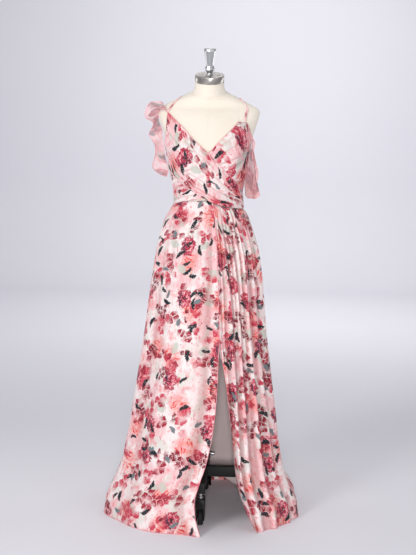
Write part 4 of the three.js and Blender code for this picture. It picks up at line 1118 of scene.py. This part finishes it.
# Each pleat: where its edge lies across the piece at the shoulder and at the waist, how far down it is
# folded over in millimetres, and how wide it is.
OVER_PLEATS = table("""
    shoulder waist deep wide
    0.05     0.07  2    0.05
    0.15     0.22  2.4  0.1
    0.31     0.34  3.2  0.12
    0.4      0.47  1.6  0.06
    0.57     0.56  3    0.13
    0.64     0.69  1.8  0.06
    0.8      0.78  2.9  0.11
    0.93     0.9   1.6  0.05
""")
UNDER_PLEATS = table("""
    shoulder waist deep wide
    0.07     0.08  1.6  0.05
    0.21     0.22  2.3  0.1
    0.37     0.38  2.7  0.1
    0.51     0.5   2.6  0.08
    0.64     0.6   2.7  0.09
    0.77     0.72  2.6  0.08
    0.9      0.86  2.4  0.07
""")


def blended(piece, s, t, column):
    """A place on a crossing piece, blended from its four edges."""
    neck, low = read(piece["neck"], column, s), read(piece["low"], column, s)
    first, last = read(piece["start"], column, t), read(piece["end"], column, t)
    top = piece["neck"][column][0] * (1 - s) + piece["neck"][column][-1] * s
    foot = piece["low"][column][0] * (1 - s) + piece["low"][column][-1] * s
    return neck * (1 - t) + low * t + first * (1 - s) + last * s - (top * (1 - t) + foot * t)


def pleated(rows, s, t):
    """How far the pleats stand out: each rises slowly from above and falls at its lower edge."""
    total = 0
    for k in range(len(rows["deep"])):
        at = rows["shoulder"][k] * (1 - s) + rows["waist"][k] * s + 0.012 * np.sin(5 * s + 3 * k)
        past = (t - at) / rows["wide"][k]
        rise = np.where(past < 0, np.exp(-(past**2)), np.exp(-((past * 4.5) ** 2)))
        live = 0.45 + 0.55 * np.sin(np.pi * np.clip(0.12 + 0.76 * s + 0.05 * np.sin(4 * k), 0, 1))
        total = np.maximum(total, rows["deep"][k] * rise * live)
    return total


neck_rolls = []
FOOT_TUCK = 2.6  # mm that each front turns in at the waist seam
bodice_print = chiffon("printed_crepe_chiffon_bodice", 1.0, (1.31, 0.5, 0), turn=0.35)
# Each front: its edges, how many millimetres it stands off the form, and its pleats.
FRONTS = {"over": (OVER, 8.3, OVER_PLEATS), "under": (UNDER, 3.4, UNDER_PLEATS)}
for name, (piece, out, pleats) in FRONTS.items():
    s, t = np.meshgrid(np.linspace(0, 1, 141), np.linspace(0, 1, 121))
    angle = blended(piece, s, t, "angle")
    foot = waist_at(angle) + WAIST_GAP
    z = np.maximum(blended(piece, s, t, "z"), foot)
    turned_in = FOOT_TUCK * np.exp(-(z - foot) / 2.2)
    drop = 0.5 * np.exp(-(z - foot) / 1.2)
    grid = metres(on_form(angle, z - drop, out + pleated(pleats, s, t) - turned_in))
    uv = cloth_uv(grid) + np.array([0.0 if name == "over" else 0.83, 0.0])
    neck_rolls.append(grid[0] + np.array([0, 0, -0.0004]))
    # Painted shade in the hollows of the pleats.
    fold_shade = np.maximum(0.55 * hollows(grid, 3, 0.8, 0), 0.5 * hollows(grid, 9, 2.2, 0))
    front = shell(grid_mesh(f"bodice_{name}_chiffon", grid, uv, bodice_print, fold_shade=fold_shade), 0.6)
    stand_in(front, "dressed_form", f"bodice_front_{name}")
    size = cut_size(uv)

grown("bodice_neck_rolled", neck_rolls, roll_tree, hem_cloth, {**ROLL, "Radius": 0.0008})

BACK_OUT = 3.7  # mm off the form
BACK_TOP_SIDE, BACK_TOP_ZIP = 1264, 1236  # the height of the top edge at the side and beside the zip
ZIP_HALF = 2.2  # mm, half the width of the zip
ZIP_RADIUS = 111  # from the pole's axis to the cloth beside the zip
for name, side in (("left", -1), ("right", 1)):
    p, q = np.meshgrid(np.linspace(0, 1, 71), np.linspace(0, 1, 81))
    edge = 180 - math.degrees((ZIP_HALF + 0.3) / ZIP_RADIUS)
    angle = side * (90.1 + (edge - 90.1) * p)
    top = BACK_TOP_SIDE + (BACK_TOP_ZIP - BACK_TOP_SIDE) * np.sin(np.pi / 2 * p)
    z = top + (waist_at(angle) + WAIST_GAP - top) * q
    dip = 0.5 * np.exp(-(((p - 0.5) / 0.02) ** 2))  # the back dart
    roll = 0.5 * np.exp(-((q / 0.03) ** 2))
    pull = 0.5 * np.sin(9 * q + 4 * p) * np.sin(np.pi * p) + 0.3 * np.sin(17 * q - 6 * p)
    inside = np.clip(q * 6, 0, 1) * np.clip((1 - q) * 6, 0, 1)
    grid = metres(on_form(angle, z, BACK_OUT + pull * inside - dip + roll))
    uv = cloth_uv(grid) + np.array([side * 0.6 + 2.0, 0.3])
    back = shell(grid_mesh(f"bodice_back_{name}_chiffon", grid, uv, bodice_print), 0.6)
    stand_in(back, "dressed_form", f"bodice_back_{name}")
    size = cut_size(uv)

# Straps.
# Narrow rouleaux: a bias tube of the same chiffon, turned through and pressed flat, with a soft edge.
# By the place along each strap: its angle, its height, and how far its underside is off the form.
STRAPS = {
    "left": table("""
        k  angle z      out
        0  -50   1392.4 7.3
        1  -52   1407   2
        2  -66   1428   0.8
        3  -90   1442   1.3
        4  -118  1434   0.9
        5  -138  1404   0.8
        6  -152  1360   0.8
        7  -168  1312   0.8
        8  -180  1289   0.8
        9  -194  1269   0.9
        10 -208  1248   1.6
    """),
    "right": table("""
        k  angle z      out
        0  46    1359.6 2.4
        1  46    1386   0.9
        2  57    1416   1.4
        3  90    1438   1.8
        4  118   1431   0.9
        5  138   1402   0.8
        6  152   1360   0.8
        7  168   1312   2
        8  180   1289   3.3
        9  194   1269   1.6
        10 208   1248   1.6
    """),
}
STRAP_END = 10  # the last place along each
STRAP_WIDE, STRAP_THICK = 7, 2  # mm
unit = lambda vectors: vectors / np.linalg.norm(vectors, axis=-1, keepdims=True)
strap_print = chiffon("printed_crepe_chiffon_strap", 1.0, (2.4, 1.5, 0))
for name, path in STRAPS.items():
    k = np.linspace(0, STRAP_END, 221)
    place_at = lambda at: on_form(read(path, "angle", at), read(path, "z", at), read(path, "out", at))
    tangent = unit(place_at(np.minimum(k + 0.02, STRAP_END)) - place_at(np.maximum(k - 0.02, 0)))
    angle, z = read(path, "angle", k), read(path, "z", k)
    round_it = on_form(angle + 0.5, z) - on_form(angle - 0.5, z)
    up_it = on_form(angle, z + 0.5) - on_form(angle, z - 0.5)
    wide = unit(np.cross(tangent, unit(np.cross(round_it, up_it))))
    out = np.cross(wide, tangent)
    turn = np.linspace(0, 2 * np.pi, 17)
    across = np.sign(np.cos(turn)) * np.abs(np.cos(turn)) ** 0.7 * STRAP_WIDE / 2
    proud = STRAP_THICK / 2 + np.sign(np.sin(turn)) * np.abs(np.sin(turn)) ** 0.8 * STRAP_THICK / 2
    ring = wide[:, None] * across[None, :, None] + out[:, None] * proud[None, :, None]
    grid = metres(place_at(k)[:, None] + ring)
    rouleau = grid_mesh(f"strap_{name}_rouleau", grid, cloth_uv(grid), strap_print, around=True)
    capping = bmesh.new()
    capping.from_mesh(rouleau.data)
    bmesh.ops.holes_fill(capping, edges=[e for e in capping.edges if e.is_boundary], sides=0)
    bmesh.ops.recalc_face_normals(capping, faces=capping.faces)
    capping.to_mesh(rouleau.data)
    capping.free()
    stand_in(rouleau, "dressed_form", f"strap_{name}")

# Ruffles.
# Flutter strips of one thickness of the chiffon, so sheer that the backdrop shows through, gathered into the
# armhole seams and finished with a rolled hem. The left one stands up over the shoulder, the right one hangs.
# By the share of the sewn edge: where it is, which way the strip leaves it, and the strip's width.
RUFFLES = {
    "left": table("""
        s    x      y     z    dx    dy   dz    wide
        0    -141.6 -38   1388 -0.35 0.1  0.93  15
        0.1  -149   -38   1396 -0.3  0.2  0.93  26.3
        0.22 -163.6 -33.1 1397 -0.75 0.1  0.6   37
        0.34 -170   -15.6 1389 -0.98 0    -0.1  47
        0.46 -171   3.9   1366 -0.75 0.2  -0.6  26
        0.6  -159   2.9   1327 -0.85 0.25 -0.35 49
        0.74 -155   0     1283 -0.7  0.3  -0.65 33
        0.88 -147   -1    1238 -0.8  0.2  -0.55 56.7
        1    -136.6 0     1197 -0.2  0.2  -0.9  27.4
    """),
    "right": table("""
        s    x     y     z    dx   dy    dz    wide
        0    130.1 -52.2 1355 0.2  -0.3  -0.93 11.7
        0.12 138.9 -48.4 1336 0.2  -0.25 -0.95 33.2
        0.28 146.2 -35.8 1309 0.13 -0.13 -0.97 80
        0.45 148   -14.6 1279 0.16 -0.1  -0.98 135.8
        0.62 144.9 9.3   1266 0.13 -0.04 -0.99 166.2
        0.8  134.1 39.9  1264 0.06 0.04  -0.99 165.2
        1    107.5 69.9  1261 0.05 0.2   -0.97 97.8
    """),
}
RUFFLE_SWING = {"left": 9, "right": 7}  # mm that the flutes stand out
FLUTES = 5
STITCH_IN = 3.0  # mm from the hem to its stitches


def ruffle_at(rows, swing, s, t):
    """Points of a ruffle: s along its sewn edge and t out to its hem."""
    edge = lambda at: np.stack([read(rows, axis, at) for axis in "xyz"], -1)
    along = unit(edge(np.minimum(s + 0.01, 1)) - edge(np.maximum(s - 0.01, 0)))
    leave = unit(np.stack([read(rows, axis, s) for axis in ("dx", "dy", "dz")], -1))
    lift = unit(np.cross(along, leave))
    wide = read(rows, "wide", s)
    wave = np.sin(2 * np.pi * FLUTES * s) * swing * np.minimum(wide / 40, 1) * np.clip(t, 0, 1) ** 1.3
    small = 0.8 * np.sin(2 * np.pi * (3 * FLUTES * s + 0.3 * np.sin(9 * s))) * t * (1.3 - t)
    return edge(s) + leave * (t * wide)[..., None] + lift * (wave + small)[..., None]


ruffle_rolls, ruffle_stitches = [], []
ruffle_print = chiffon("printed_sheer_chiffon_ruffle", 0.62, (4.4, 1.3, 0), 0.8, through=0.45, pale=0.5)
for name, rows in RUFFLES.items():
    s, t = np.meshgrid(np.linspace(0, 1, 241), np.linspace(0, 1, 41))
    grid = metres(ruffle_at(rows, RUFFLE_SWING[name], s, t))
    uv = cloth_uv(grid)
    ruffle_rolls += [grid[-1], grid[:, 0], grid[:, -1]]
    stitched = 1 - STITCH_IN / read(rows, "wide", s[0])
    ruffle_stitches.append(metres(ruffle_at(rows, RUFFLE_SWING[name], s[0], stitched)))
    # Painted shade in the hollows of the flutes.
    fold_shade = 0.6 * hollows(grid, 12, 4.0, 1)
    strip = shell(grid_mesh(f"ruffle_{name}_chiffon", grid, uv, ruffle_print, fold_shade=fold_shade), 0.4)
    stand_in(strip, "dressed_form", f"ruffle_{name}")
    size = (cut_size(uv)[0], float(read(rows, "wide", s).max()) / 1000)

grown("ruffle_hem_rolled", ruffle_rolls, roll_tree, hem_cloth, {**ROLL, "Radius": 0.0009})
grown("ruffle_hem_stitches", ruffle_stitches, stitch_tree, thread_pink, STITCHES)

# Zip.
# A covered zip in the centre back seam: woven tape dyed to match, and a painted slider with a pull tab
# that swings on the slider's arch.
# Fine pink ribs across the tape, matt.
tape, tree, shader, place = surface("woven_zip_tape")
ribs = {"Vector": place, "Scale": 420, "Distortion": 0.4}
ribs = node(tree, "ShaderNodeTexWave", ribs, bands_direction="Z")
tone = {"Factor": ribs.outputs["Color"], "A": "#dd8f99", "B": "#f0b3ba"}
tone = node(tree, "ShaderNodeMix", tone, data_type="RGBA")
relief = node(tree, "ShaderNodeBump", {"Height": ribs.outputs["Fac"], "Distance": 0.15 * MM})
feed(tree, shader, {"Base Color": tone, "Roughness": 0.7, "Normal": relief})
# Stoved paint on zinc, in the pink of the tape, with a soft shine.
enamel, tree, shader, place = surface("painted_zinc")
wear = node(tree, "ShaderNodeTexNoise", {"Vector": place, "Scale": 240, "Detail": 3})
tone = node(tree, "ShaderNodeMix", {"Factor": wear, "A": "#d98a96", "B": "#ecaab3"}, data_type="RGBA")
feed(tree, shader, {"Base Color": tone, "Roughness": 0.35})
for node_name, name, material, bevel, body_name, slot in (
    ("zip_strip", "zip_tape_woven", tape, 0.3, "dressed_form", "zip_tape"),
    ("zip_slider", "zip_slider_painted", enamel, 0.25, "dressed_form", "zip_metal"),
    ("zip_pull", "zip_pull_painted", enamel, 0.25, "pull_tab", "zip_metal"),
):
    piece = finer(node_name, name, material, bevel)
    stand_in(piece, body_name, node_name)
